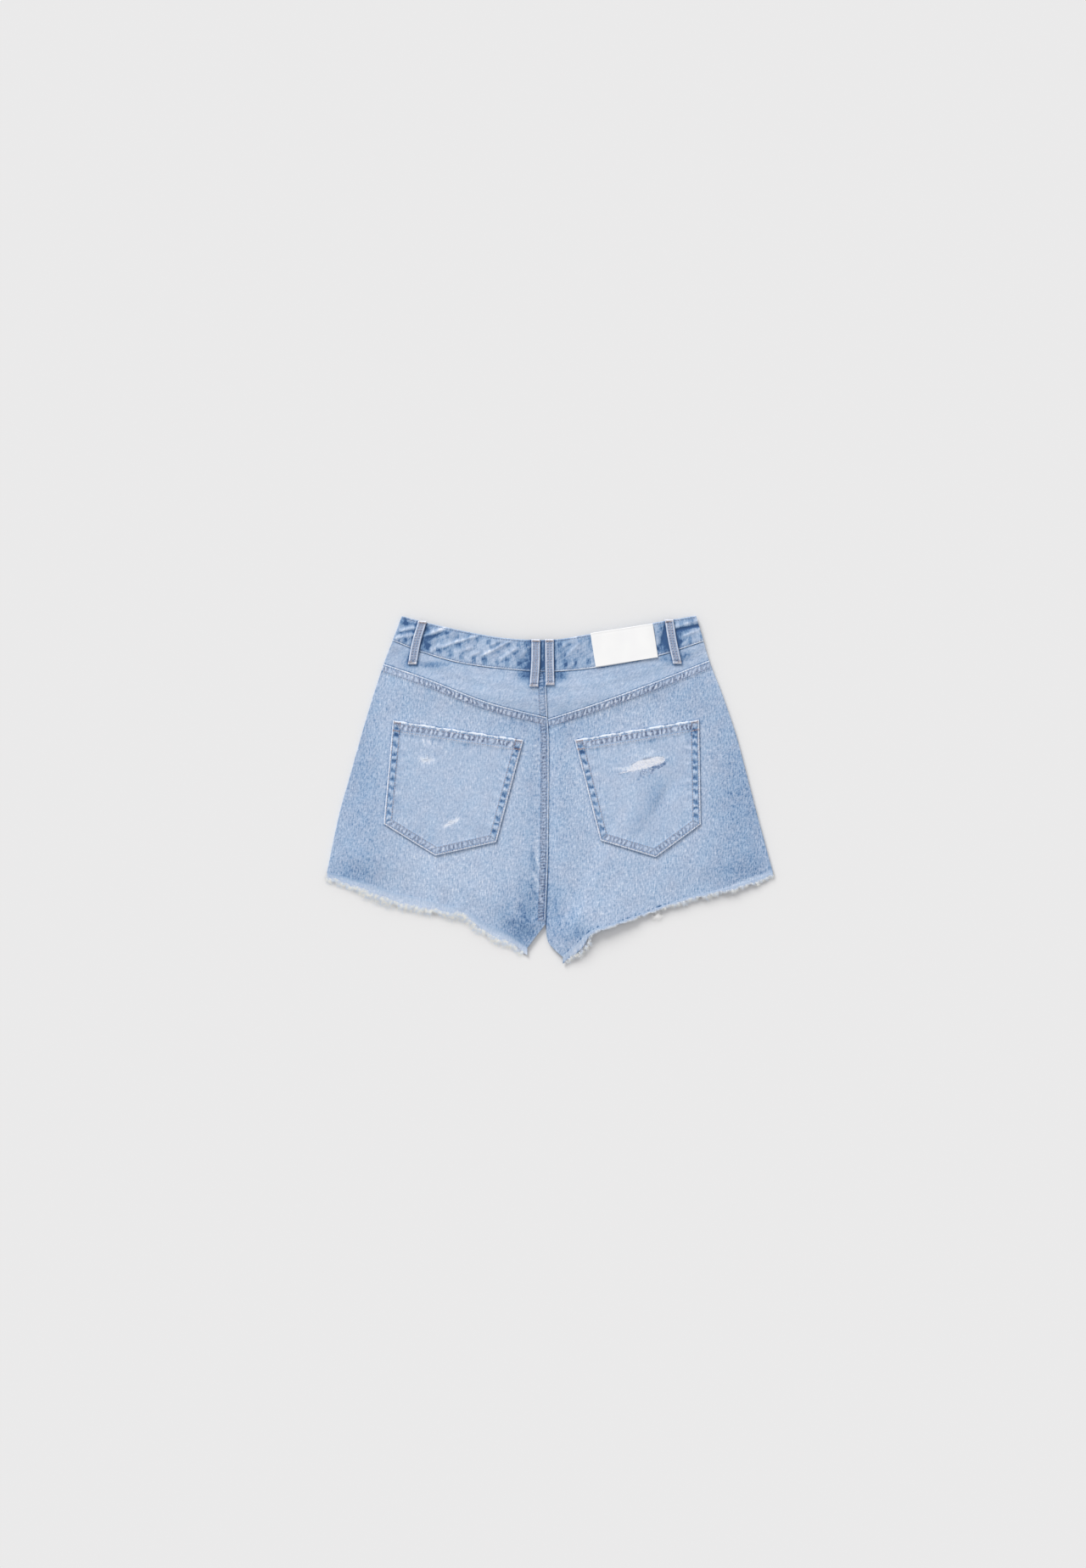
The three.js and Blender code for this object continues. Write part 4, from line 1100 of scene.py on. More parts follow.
def pocket(name, corners, node, cut_away=None):
    """One patch pocket."""
    top_left, top_right, low_right, tip, low_left = (np.array(c, float) for c in corners)

    def foot(s):
        s = np.asarray(s, float)[..., None]
        return np.where(s < 0.5, mix(low_left, tip, 2 * s), mix(tip, low_right, 2 * s - 1))

    def straight(a, b):
        return lambda t: mix(a, b, np.asarray(t, float)[..., None])

    def head(s):
        s = np.asarray(s, float)
        worn = (0.45 * np.sin(s * 31) + 0.3 * np.sin(s * 83 + 1)) * ease(np.minimum(s, 1 - s) * 12)
        return mix(top_left, top_right, s[..., None]) + point(0 * worn, worn)

    plan = panel(straight(low_left, top_left), straight(low_right, top_right), foot, head)

    def over(x, y, s, t):
        beat, across, edge = pocket_lane(x, y, corners)
        turned = HEM_RISE * (1 - ease((across - np.where(edge == 0, 10.6, 9.4)) / 1.3))
        rub = spots(rubbed, x, y) * 0.1
        return pocket_over(x, y) + turned + puckers(beat, across) + rounded(across, 0.7) - rub

    def looks(x, y, s, t):
        beat, across, edge = pocket_lane(x, y, corners)
        top, side = edge == 0, (edge == 1) | (edge == 4)
        # Patches of wash, one of them painted shade along the fold across the right pocket, and the rubbed and
        # ripped places.
        wash = 0.62 + spots(pocket_wash, x, y) + spots(rubbed, x, y) + spots(ripped, x, y)
        wash -= np.where(side, 0.1, 0.04) * bell((across - 5.5) / 3)
        # Painted shade and light along the fold across the right pocket, and pale lines on the left one.
        wash += ridges(pocket_crease_shade_and_wear, x, y)
        wash += 0.12 * top * bell((across - 9.4) / 1.2)
        # A patchy dark line just below the top hem's turned edge: painted shadow.
        wash -= 0.12 * top * bell((across - 12.5) / 1.5) * (0.4 + spots_along(beat))
        wash -= spots(pocket_corners_wash, x, y)
        if cut_away is not None:
            along_rip, across_rip = rip_place(x, y)
            off_rip = np.hypot(along_rip / RIP_LONG, across_rip / RIP_TALL) - 1.1
            wash += 0.2 * bell(off_rip / 0.25) * (across_rip > 0)
            wash -= 0.25 * bell(off_rip / 0.2) * (across_rip < 0) * (along_rip > -4)
        style = columns(np.where(side, 1.0, 0.0), np.where(top, 1.0, 0.25), np.where(side, -0.2, 1.4))
        return wash, columns(beat, across, np.where(side, 0.85, np.where(top, 0.95, 0.72))), style

    return cloth(
        name, plan, (150, 138), over, POCKET, [pocket_denim], looks, [node], step=1.25,
        cut_away=cut_away, torn_edge=rip_edge
    )


pocket_left = pocket("patch_pocket_left", pocket_left_corners, "back_pocket_left")
pocket_right = pocket("patch_pocket_right", pocket_right_corners, "back_pocket_right", cut_away=in_rip)


# Waist patch
# A plain white plate of smooth coated card, bare, sewn in under the waistband's top row of stitches.
# It turns with the slope of the waist and laps a little way down over the yoke.
PATCH = 1
PATCH_X, PATCH_Y = 86.7, 169.5
PATCH_WIDE, PATCH_TALL = 74.5, 40.5
PATCH_TILT = 0.155


def patch_plan(s, t):
    across, up = (s - 0.5) * PATCH_WIDE, (t - 0.5) * PATCH_TALL
    return point(
        PATCH_X + across * math.cos(PATCH_TILT) - up * math.sin(PATCH_TILT),
        PATCH_Y + across * math.sin(PATCH_TILT) + up * math.cos(PATCH_TILT),
    )


def patch_over(x, y, s, t):
    bow = 0.25 * np.sin(s * 9.0) * (0.4 + 0.6 * t) + 0.15 * np.sin(s * 21 + 1) * t
    edge = np.minimum(np.minimum(s, 1 - s) * PATCH_WIDE, np.minimum(t, 1 - t) * PATCH_TALL)
    row = bell(((1 - t) * PATCH_TALL - 2.2) / 0.6)
    return band_over(x, y) + LAYER_GAP + PATCH + bow + rounded(edge, 0.4) - 0.25 * row


patch_paint, tree, shader = new_material("white_coated_card")
place = put(tree, "TexCoord").outputs["Object"]
faint = put(tree, "TexNoise", {"Vector": place, "Scale": 900.0, "Detail": 2.0}).outputs[0]
sheen = put(tree, "TexNoise", {"Vector": place, "Scale": 45.0, "Detail": 1.0}).outputs[0]
tone = two_tones(tree, sheen, (0.86, 0.86, 0.87, 1), (0.94, 0.94, 0.93, 1))
tree.links.new(tone, shader.inputs["Base Color"])
bump = put(tree, "Bump", {"Height": faint, "Strength": 0.2, "Distance": 0.0001})
tree.links.new(bump.outputs[0], shader.inputs["Normal"])
shader.inputs["Roughness"].default_value = 0.42
patch = cloth(
    "patch_plate", patch_plan, (PATCH_WIDE, PATCH_TALL), patch_over, PATCH, [patch_paint],
    lambda x, y, s, t: (np.ones_like(x), *unseamed(x)), ["waist_patch"]
)

# Belt loops
# Strips folded in three, with a double row of stitches down the middle, turned under at both ends
# and barred down across the waistband.
LOOP = 2
STITCH = 3.1  # from stitch to stitch
loop_denim = denim_material("loop_denim", speckle=0.5, greyness=1.3)


def strap(name, top, middle, low, top_y, end_y, over, node, faces_up=1):
    """One belt loop along its middle line."""
    line = loop_line(top_y, top, middle, end_y, low)

    def plan(s, t):
        y = mix(end_y, top_y, t)
        return point(line(y) + (s - 0.5) * LOOP_WIDE, y)

    def height(x, y, s, t):
        off = abs(s - 0.5) * LOOP_WIDE
        shape = 0.3 * bell((off - 4.2) / 0.9) - 0.3 * bell((off - 1.9) / 0.8) - 0.3 * bell(off / 0.5)
        ends = np.minimum(t, 1 - t) * (top_y - end_y)
        sides = rounded(LOOP_WIDE / 2 - off, 1.3)
        return over(x, y) + faces_up * (shape - 0.4 * bell((ends - 3.2) / 0.8) + rounded(ends, 1.2) + sides)

    def looks(x, y, s, t):
        off = abs(s - 0.5) * LOOP_WIDE
        rung = 0.5 + 0.5 * np.sin(math.tau * y / STITCH)
        ends = np.minimum(t, 1 - t) * (top_y - end_y)
        # Pale folded edges, and dark rungs along the rows of stitches. The dark line down the middle is painted
        # shade in the groove there, and the dark outermost edges are painted shade where the loop rounds down.
        # The turned-under ends are pale, with a darker line just inside each.
        wash = 0.54 + 0.46 * bell((off - 4.4) / 0.6) - (0.1 + 0.4 * rung) * bell((off - 1.9) / 1.1)
        wash -= 0.36 * bell(off / 0.45) + 0.5 * ease((off - 4.85) / 0.4)
        wash = mix(wash, 0.92, 1 - ease((ends - 2.2) / 1.2)) - 0.3 * bell((ends - 3.9) / 0.7)
        return wash, *unseamed(x)

    return cloth(name, plan, (LOOP_WIDE, top_y - end_y), height, LOOP, [loop_denim], looks, [node],
                 step=0.9, grain=lambda x, y, s, t: [s * LOOP_WIDE, y])


def back_loop_over(x, y):
    below = np.maximum(0, band_seam(x) - 1 - y)
    return np.maximum(back_over(x, y), band_over(x, y) - below * 0.11) + LAYER_GAP + LOOP


back_loops = []
for side, top, middle, low, end_y in loop_rows:
    top_y = float(waist_edge(top)) + 0.8
    back_loops.append(strap("loop_back_" + side, top, middle, low, top_y, end_y, back_loop_over,
                            "belt_loop_back_" + side))

# Front
# Two plain legs and a waistband in two lengths, lying on the table. Each leg's top outer corner is
# scooped out for its pocket, and a facing of the same twill fills it.
FRONT_INSET = 0.8
FRONT_SHORTER = 3
FRONT_MIDDLE = -4
SCOOP_X, SCOOP_Y = 118, 88  # where a pocket opening meets the waistband and the side
front_waist_edge = through(
    (-175, 203), (-110, 182), (-50, 168), (0, 165), (50, 168.5), (110, 184), (171, 203)
)
front_denim = denim_material("front_denim")
front_band_denim = denim_material("front_band_denim", speckle=0.8, marble=0.5)


def front_over(x, y, s, t):
    return lift(x, y) + DENIM


def front_band_over(x, y, s, t):
    return lift(x, y) + BAND


def front_looks(x, y, s, t):
    return 0.63 + 0.5 * spots(leg_wash, x, y), *unseamed(x)


def front_side(y, left):
    return side_left(y) + FRONT_INSET if left else side_right(y) - FRONT_INSET


def scoop(turn, left, shift):
    """The edge of a pocket opening, from the waistband at 0 to the side seam at 1."""
    side = -1 if left else 1
    start_x = side * (SCOOP_X - shift)
    end_y = SCOOP_Y - shift
    x = mix(start_x, front_side(end_y, left), 1 - np.cos(turn * math.pi / 2))
    return point(x, mix(front_band_seam(start_x) - SEAM_GAP / 2, end_y, np.sin(turn * math.pi / 2)))


def front_leg(name, left, node):
    """One front leg."""
    hem = hem_left if left else hem_right
    low_inner, inseam = (-184, inseam_left) if left else (-194, inseam_right)
    ends = (-264 + FRONT_INSET, -27) if left else (14 + FRONT_INSET, 262.5 - FRONT_INSET)
    gap = SEAM_GAP / 2 * (-1 if left else 1)

    def inner(t):
        y = climb(t, low_inner, front_band_seam(FRONT_MIDDLE) - SEAM_GAP / 2)
        return point(np.where(y < CROTCH_Y, inseam(y) + FRONT_INSET * np.sign(gap), FRONT_MIDDLE + gap), y)

    def outer(t):
        y = mix(HEM_OUTER_Y + FRONT_SHORTER, SCOOP_Y - SEAM_GAP / 2, t)
        return point(front_side(y, left), y)

    def foot(s):
        x = mix(ends[0], ends[1], s)
        return point(x, hem(x) + FRONT_SHORTER)

    def head(s):
        s = np.asarray(s, float)
        share = (s if left else 1 - s)[..., None]
        x = mix(SCOOP_X * (-1 if left else 1), FRONT_MIDDLE + gap, np.maximum(share[..., 0] - 0.6, 0) / 0.4)
        along_band = point(x, front_band_seam(x) - SEAM_GAP / 2)
        opening = scoop(1 - np.minimum(share[..., 0], 0.6) / 0.6, left, SEAM_GAP / 2)
        return np.where(share < 0.6, opening, along_band)

    plan = panel(outer, inner, foot, head) if left else panel(inner, outer, foot, head)
    return cloth(name, plan, (220, 240), front_over, DENIM, [inner_denim, front_denim], front_looks, [node],
                 step=4)


def facing(name, left, node):
    """The cloth in a front pocket's opening."""
    band_x = -186 if left else 180

    def outer(t):
        y = mix(SCOOP_Y + SEAM_GAP / 2, front_band_seam(band_x) - SEAM_GAP / 2, t)
        return point(front_side(y, left), y)

    def head(share):
        x = mix(outer(1.0)[0], SCOOP_X * (-1 if left else 1), share)
        return point(x, front_band_seam(x) - SEAM_GAP / 2)

    def foot(share):
        return scoop(1 - share / 2, left, -SEAM_GAP / 2)

    def inner(t):
        return scoop((1 - t) / 2, left, -SEAM_GAP / 2)

    if left:
        plan = panel(outer, inner, foot, head)
    else:
        plan = panel(inner, outer, lambda s: foot(1 - s), lambda s: head(1 - s))
    return cloth(name, plan, (80, 80), front_over, DENIM, [inner_denim, front_denim], front_looks, [node],
                 step=4)


def front_band(name, from_x, to_x, from_top, to_top, node):
    """One length of the front waistband."""
    def end(low_x, top_x):
        low_y, top_y = front_band_seam(low_x) + SEAM_GAP / 2, front_waist_edge(top_x)
        return lambda t: point(mix(low_x, top_x, t), mix(low_y, top_y, t))

    def foot(s):
        x = mix(from_x, to_x, s)
        return point(x, front_band_seam(x) + SEAM_GAP / 2)

    def head(s):
        x = mix(from_top, to_top, s)
        return point(x, front_waist_edge(x))

    return cloth(name, panel(end(from_x, from_top), end(to_x, to_top), foot, head), (to_x - from_x, BAND_TALL),
                 front_band_over, BAND, [front_band_denim], front_looks, [node], step=2.5)


front_left = front_leg("leg_front_left", True, "front_panel_left")
front_right = front_leg("leg_front_right", False, "front_panel_right")
facings = [
    facing("pocket_facing_left", True, "front_pocket_facing_left"),
    facing("pocket_facing_right", False, "front_pocket_facing_right"),
]
front_bands = [
    front_band("waistband_front_strip_left", -185.7, 9.85, -174.7, 9.85, "waistband_front_left"),
    front_band("waistband_front_strip_right", 10.15, 179.7, 10.15, 170.7, "waistband_front_right"),
]
for side, top, middle, low, end_y in [("left", -88, -89, -90, 118), ("right", 84, 85, 86, 120)]:
    top_y = float(front_waist_edge(top)) + 0.8
    strap("loop_front_" + side, top, middle, low, top_y, end_y,
                             lambda x, y: lift(x, y) - SEAM_GAP, "belt_loop_front_" + side, faces_up=0)

# Button
# A shank button of dull nickel on the front waistband, face down on the table, with a rolled rim and
# a ring round its plain face.
button_metal, tree, shader = new_material("dull_nickel")
place = put(tree, "TexCoord").outputs["Object"]
worn = put(tree, "TexNoise", {"Vector": place, "Scale": 700.0, "Detail": 4.0}).outputs[0]
tone = two_tones(tree, worn, (0.33, 0.33, 0.335, 1), (0.62, 0.62, 0.63, 1))
tree.links.new(tone, shader.inputs["Base Color"])
tree.links.new(rise(tree, worn, 0.9, 0.1), shader.inputs["Roughness"])
shader.inputs["Metallic"].default_value = 1
BUTTON_X, BUTTON_Y = -4, 146
mesh = bpy.data.meshes.new("shank_button")
bm = bmesh.new()
profile = [
    (0, 0.35), (3.6, 0.35), (4.0, 0.1), (4.4, 0.35), (5.6, 0.3), (6.4, 0), (7.6, 0.15), (8.4, 0.8),
    (8.5, 1.3), (7.8, 1.9), (0, 2.0)
]
rim = [bm.verts.new((radius * MM, 0, height * MM)) for radius, height in profile]
edges = [bm.edges.new(pair) for pair in zip(rim, rim[1:])]
bmesh.ops.spin(bm, geom=rim + edges, cent=(0, 0, 0), axis=(0, 0, 1), angle=math.tau, steps=40, use_merge=True)
bmesh.ops.remove_doubles(bm, verts=bm.verts, dist=1e-6)
bmesh.ops.recalc_face_normals(bm, faces=bm.faces)
bmesh.ops.translate(bm, vec=(BUTTON_X * MM, BUTTON_Y * MM, 0), verts=bm.verts)
bm.to_mesh(mesh)
bm.free()
mesh.materials.append(button_metal)
mesh.polygons.foreach_set("use_smooth", [True] * len(mesh.polygons))
button = add("shank_button", mesh)
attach(button, "root")
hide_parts("waist_button")

# Topstitching
# Cotton thread that has faded from tan to grey: two rows on each felled seam, round each pocket and
# down each loop, and one row along each edge of the waistband.
STITCH_LONG = 2.35
bpy.context.view_layer.update()
depsgraph = bpy.context.evaluated_depsgraph_get()


def cloth_met(x, y, start_z, way):
    """The cloth that a line up or down meets first: the place, the way that it faces, and the piece."""
    start = (x * MM, y * MM, start_z)
    _, place, normal, _, piece, _ = bpy.context.scene.ray_cast(depsgraph, start, (0, 0, way))
    return place, normal, piece


def top_of(x, y):
    return cloth_met(x, y, 0.1, -1)


def bottom_of(x, y):
    return cloth_met(x, y, -0.1 * MM, 1)


def along_path(path, step):
    """Points a step apart along a line, and the direction at each."""
    path = np.asarray(path, float)
    legs = np.hypot(*np.diff(path, axis=0).T)
    run = np.concatenate([[0], np.cumsum(legs)])
    at = np.arange(step / 2, run[-1], step)
    x, y = np.interp(at, run, path[:, 0]), np.interp(at, run, path[:, 1])
    ahead = np.stack([np.interp(at + 0.5, run, path[:, 0]) - np.interp(at - 0.5, run, path[:, 0]),
                      np.interp(at + 0.5, run, path[:, 1]) - np.interp(at - 0.5, run, path[:, 1])], 1)
    return np.stack([x, y], 1), np.arctan2(ahead[:, 1], ahead[:, 0])


def thread_material(name, dark, light, spread=160.0, fuzzy=False):
    """Cotton thread, mottled between two shades. Fuzz takes the light as one soft layer."""
    material, tree, shader = new_material(name)
    place = put(tree, "TexCoord").outputs["Object"]
    mottle = put(tree, "TexNoise", {"Vector": place, "Scale": spread, "Detail": 3.0}).outputs[0]
    tone = two_tones(tree, rise(tree, mottle, 0.3, 0.7), surface(*dark), surface(*light))
    tree.links.new(tone, shader.inputs["Base Color"])
    twist = put(tree, "TexNoise", {"Vector": place, "Scale": 2600.0, "Detail": 1.0}).outputs[0]
    bump = put(tree, "Bump", {"Height": twist, "Strength": 0.4, "Distance": 0.0002}).outputs[0]
    if fuzzy:
        bump = put(tree, "VectorMath", {0: bump, 1: (0, 0, 1.6)}, operation="ADD").outputs[0]
        bump = put(tree, "VectorMath", {0: bump}, operation="NORMALIZE").outputs[0]
        shader.inputs["Sheen Weight"].default_value = 0.35
        shader.inputs["Sheen Roughness"].default_value = 0.5
    tree.links.new(bump, shader.inputs["Normal"])
    shader.inputs["Roughness"].default_value = 0.85
    return material


seam_thread = thread_material("seam_thread", (122, 122, 144), (184, 174, 182))
pocket_thread = thread_material("pocket_thread", (140, 128, 138), (198, 184, 186))
band_thread = thread_material("band_thread", (84, 92, 122), (138, 138, 158))
loop_thread = thread_material("loop_thread", (158, 150, 158), (216, 206, 208))


def sew(name, rows, sewn_pieces=None, surface_at=top_of, thread=seam_thread, thick=0.34):
    """Rows of stitches, each lying in the cloth that it holds, and none where other cloth covers it."""
    mesh = bpy.data.meshes.new(name)
    sewn = bmesh.new()
    for row in rows:
        bm = bmesh.new()
        for (x, y), turn in zip(*along_path(row, STITCH)):
            place, normal, piece = surface_at(x, y)
            if sewn_pieces and piece.name not in [sewn_piece.name for sewn_piece in sewn_pieces]:
                continue
            ahead = Vector((math.cos(turn), math.sin(turn), 0))
            side = normal.cross(ahead).normalized()
            facing_up = Matrix((side.cross(normal), side, normal)).transposed().to_4x4()
            size = Matrix.Diagonal((STITCH_LONG / 2 * MM, thick * MM, thick * 0.8 * MM, 1))
            matrix = Matrix.Translation(place) @ facing_up @ size
            bmesh.ops.create_uvsphere(bm, u_segments=6, v_segments=4, radius=1, matrix=matrix)
        bm.to_mesh(mesh)
        bm.free()
        sewn.from_mesh(mesh)
    sewn.to_mesh(mesh)
    sewn.free()
    mesh.polygons.foreach_set("use_smooth", [True] * len(mesh.polygons))
    mesh.materials.append(thread)
    piece = add(name, mesh)
    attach(piece, "root")
    return piece


def inset(corners, distance):
    """The line at a distance inside a piece's edges, from its top right corner round to its top left."""
    lines = []
    for i in range(1, 5):
        (x1, y1), (x2, y2) = corners[i], corners[(i + 1) % 5]
        long = math.hypot(x2 - x1, y2 - y1)
        nx, ny = (y2 - y1) / long, -(x2 - x1) / long
        lines.append(((x1 + nx * distance, y1 + ny * distance), (x2 - x1, y2 - y1)))
    path = [lines[0][0]]
    for ((x1, y1), (dx1, dy1)), ((x2, y2), (dx2, dy2)) in zip(lines, lines[1:]):
        share = ((x2 - x1) * dy2 - (y2 - y1) * dx2) / (dx1 * dy2 - dy1 * dx2)
        path.append((x1 + dx1 * share, y1 + dy1 * share))
    (x1, y1), (dx, dy) = lines[-1]
    path.append((x1 + dx, y1 + dy))
    return path


def shifted(curve, from_x, to_x, down):
    """A line below a seam."""
    x = np.linspace(from_x, to_x, 60)
    slope = np.gradient(curve(x), x)
    return np.stack([x + slope * down / np.hypot(1, slope), curve(x) - down / np.hypot(1, slope)], 1)


middle_y = np.linspace(-156, 82, 40)
upper_y = np.linspace(87, 122, 10)
seam_rows = [shifted(yoke_left, -195, -6, d) for d in (1.9, 9.0)]
seam_rows += [shifted(yoke_right, -1, 185.5, d) for d in (1.9, 9.0)]
seam_rows += [np.stack([centre_seam(y) - d, y], 1) for y in (middle_y, upper_y) for d in (2.2, 9.0)]
seam_stitches = sew("seam_stitches", seam_rows, [back_left, back_right] + yoke_halves)
band_rows = [shifted(band_seam, -185, 179, -2.1), shifted(waist_edge, -174, 170, 2.0)]
band_stitches = sew("band_stitches", band_rows, [waistband], thread=band_thread)
pocket_rows, pocket_hem_rows = [], []
for corners in (pocket_left_corners, pocket_right_corners):
    (x1, y1), (x2, y2) = corners[0], corners[1]
    long = math.hypot(x2 - x1, y2 - y1)
    for down in (3.9, 12.2):
        across = (y2 - y1) / long * down, -(x2 - x1) / long * down
        pocket_hem_rows.append([(x1 + (x2 - x1) * 0.012 + across[0], y1 + across[1]),
                                (x2 - (x2 - x1) * 0.012 + across[0], y2 + across[1])])
    pocket_rows += [inset(corners, 1.7), inset(corners, 9.0)]
pockets = [pocket_left, pocket_right]
pocket_stitches = sew("pocket_stitches", pocket_rows, pockets, thread=pocket_thread, thick=0.4)
pocket_hem_stitches = sew("pocket_hem_stitches", pocket_hem_rows, pockets, thread=loop_thread, thick=0.4)
loop_lines = []
for side, top, middle, low, end_y in loop_rows:
    top_y = float(waist_edge(top))
    line = loop_line(top_y, top, middle, end_y, low)
    y = np.linspace(end_y + 2.5, top_y - 1, 20)
    loop_lines += [np.stack([line(y) + off, y], 1) for off in (-1.7, 1.7)]
loop_stitches = sew("loop_stitches", loop_lines, back_loops, thread=loop_thread, thick=0.42)
front_rows = [np.stack([FRONT_MIDDLE + 2 + 0 * middle_y, middle_y + 30], 1)]
fly = [(FRONT_MIDDLE - 36, 124), (FRONT_MIDDLE - 36, 20), (FRONT_MIDDLE - 30, -4), (FRONT_MIDDLE - 14, -20),
       (FRONT_MIDDLE, -26)]
front_rows += [fly, [(x + 6, y + 3) for x, y in fly[:-1]]]
turns = np.linspace(0.03, 0.97, 24)
for left in (True, False):
    front_rows += [scoop(turns, left, shift) for shift in (2.2, 8.5)]
front_rows += [shifted(front_band_seam, -184, 178, -2.2), shifted(front_waist_edge, -172, 168, 2.2)]
front_stitches = sew("front_stitches", front_rows, surface_at=bottom_of, thick=0.22)

# Bar tacks
# Dense zigzags of thicker thread: tan-pink across both ends of each loop, and rust-brown at the top
# corners of the pockets.
tack_tan = thread_material("tack_tan", (196, 168, 162), (240, 226, 222), 500.0, fuzzy=True)
tack_rust = thread_material("tack_rust", (186, 142, 124), (226, 196, 180), 500.0, fuzzy=True)


def threads(name, strands, thick, materials, fluffy=False):
    """Yarns as tubes. A strand is (points, thickness at its end, material). Light passes through fluff."""
    curve = bpy.data.curves.new(name, "CURVE")
    curve.dimensions = "3D"
    curve.bevel_depth = thick * MM
    curve.bevel_resolution = 0
    curve.use_fill_caps = True
    for material in materials:
        curve.materials.append(material)
    for points, end, material in strands:
        line = curve.splines.new("POLY")
        line.points.add(len(points) - 1)
        line.material_index = material
        line.use_smooth = True
        for i, (made, place) in enumerate(zip(line.points, points)):
            made.co = (place[0] * MM, place[1] * MM, place[2] * MM, 1)
            made.radius = mix(1, end, i / (len(points) - 1))
    spun = add(name + "_line", curve)
    mesh = bpy.data.meshes.new_from_object(spun)
    bpy.data.objects.remove(spun)
    mesh.name = name
    piece = add(name, mesh)
    piece.visible_shadow = not fluffy
    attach(piece, "root")
    return piece


def tack(x, y, turn, wide, tall, turns):
    """One zigzag, centred on a point."""
    points = []
    for i in range(turns + 1):
        across = (i / turns - 0.5) * wide
        up = tall / 2 * (1 if i % 2 else -1)
        px = x + across * math.cos(turn) - up * math.sin(turn)
        py = y + across * math.sin(turn) + up * math.cos(turn)
        points.append((px, py, top_of(px, py)[0].z / MM + 0.15))
    return points, 1.0, 0


tan_tacks = []
for side, top, middle, low, end_y in loop_rows:
    lean = math.atan2(low - middle, (float(waist_edge(top)) - end_y) / 2)
    tan_tacks.append(tack(low, end_y + 1.9, lean, LOOP_WIDE - 1.6, 2.2, 24))
    tan_tacks.append(tack(top, float(waist_edge(top)) - 1.4, lean, LOOP_WIDE - 1.6, 2.0, 24))
loop_tacks = threads("loop_tacks", tan_tacks, 0.26, [tack_tan])
rust_tacks = []
for corners in (pocket_left_corners, pocket_right_corners):
    (x1, y1), (x2, y2) = corners[0], corners[1]
    turn = math.atan2(y2 - y1, x2 - x1)
    for x, y, way in ((x1, y1, 1), (x2, y2, -1)):
        for down in (2.2, 11.5):
            px = x + way * 5.6 * math.cos(turn) + down * math.sin(turn)
            py = y + way * 5.6 * math.sin(turn) - down * math.cos(turn)
            rust_tacks.append(tack(px, py, turn, 8, 1.6, 14))
pocket_tacks = threads("pocket_tacks", rust_tacks, 0.24, [tack_rust])

# Rip
# The warp has worn away across the right pocket, and bare white weft yarns span the hole. Short blue
# ends of warp stand out of its lower edge.
bare_yarn = thread_material("bare_yarn", (222, 230, 248), (250, 251, 255), 700.0, fuzzy=True)
blue_yarn = thread_material("blue_yarn", (66, 94, 142), (122, 152, 192), 600.0)
faded_yarn = thread_material("faded_yarn", (186, 206, 236), (226, 236, 250), 400.0, fuzzy=True)
rip_strands = []


def rip_point(along, across, up):
    x, y = rip_plan(along, across)
    return x, y, float(pocket_over(np.array(x), np.array(y))) + up


RIP_YARNS = 64
for i in range(RIP_YARNS):
    across = mix(-RIP_TALL, RIP_TALL, (i + 0.5) / RIP_YARNS)
    reach = RIP_LONG * math.sqrt(max(0.05, 1 - (across / (RIP_TALL + 0.8)) ** 2)) + rng.uniform(0.4, 2.6)
    start = -reach - rng.uniform(0, 9) * (across < -1.5)
    phase = rng.uniform(0, 6)
    points = []
    for share in np.linspace(0, 1, 9):
        along = mix(start, reach, share)
        drop = 0.2 - (0.06 + 0.12 * (i % 3 > 0)) * math.sin(share * math.pi)
        points.append(rip_point(along, across + 0.3 * math.sin(along * 0.34 + phase), drop))
    rip_strands.append((points, 0.8, 0))
for i in range(150):
    turn = rng.uniform(0, math.tau)
    root = (RIP_LONG * 1.03 * math.cos(turn), RIP_TALL * 1.1 * math.sin(turn))
    out = rng.uniform(0.5, 1.5) * np.array([rng.normal(0, 0.5), math.copysign(1, math.sin(turn))])
    curl = rng.normal(0, 0.6)
    points = []
    for k in (0, 0.4, 0.8, 1.2):
        along, across = root[0] + out[0] * k + curl * k * k, root[1] + out[1] * k - 0.3 * curl * k
        points.append(rip_point(along, across, 0.1 + 0.12 * k))
    rip_strands.append((points, 0.5, 2))
for i in range(380):
    along = rng.uniform(-13, 22) * rng.uniform(0.6, 1)
    below = rng.uniform(0, 9 if along < 4 else 3.6) * rng.uniform(0.3, 1)
    root = (along, -RIP_TALL * math.sqrt(max(0.1, 1 - (along / 23) ** 2)) - below)
    turn, bend = rng.uniform(-2.6, -0.5), rng.normal(0, 1.2)
    points = []
    for k in (0, 0.7, 1.4, 2.1):
        way = turn + bend * k / 2
        up = 0.12 + 0.14 * math.sin(k)
        points.append(rip_point(root[0] + k * math.cos(way), root[1] + k * math.sin(way), up))
    rip_strands.append((points, 0.7, 1 if rng.random() < (0.4 if along < 4 else 0.8) else 2))
for i in range(44):
    along = rng.uniform(-38, -17)
    below = -3.0 + rng.normal(0, 0.7) + 0.02 * along
    points = [rip_point(along + k * rng.uniform(3, 7), below, 0.12) for k in (0, 0.5, 1)]
    rip_strands.append((points, 0.5, 1 if rng.random() < 0.2 else 0))
rip_threads = threads("rip_yarns", rip_strands, 0.2, [bare_yarn, blue_yarn, faded_yarn], fluffy=True)

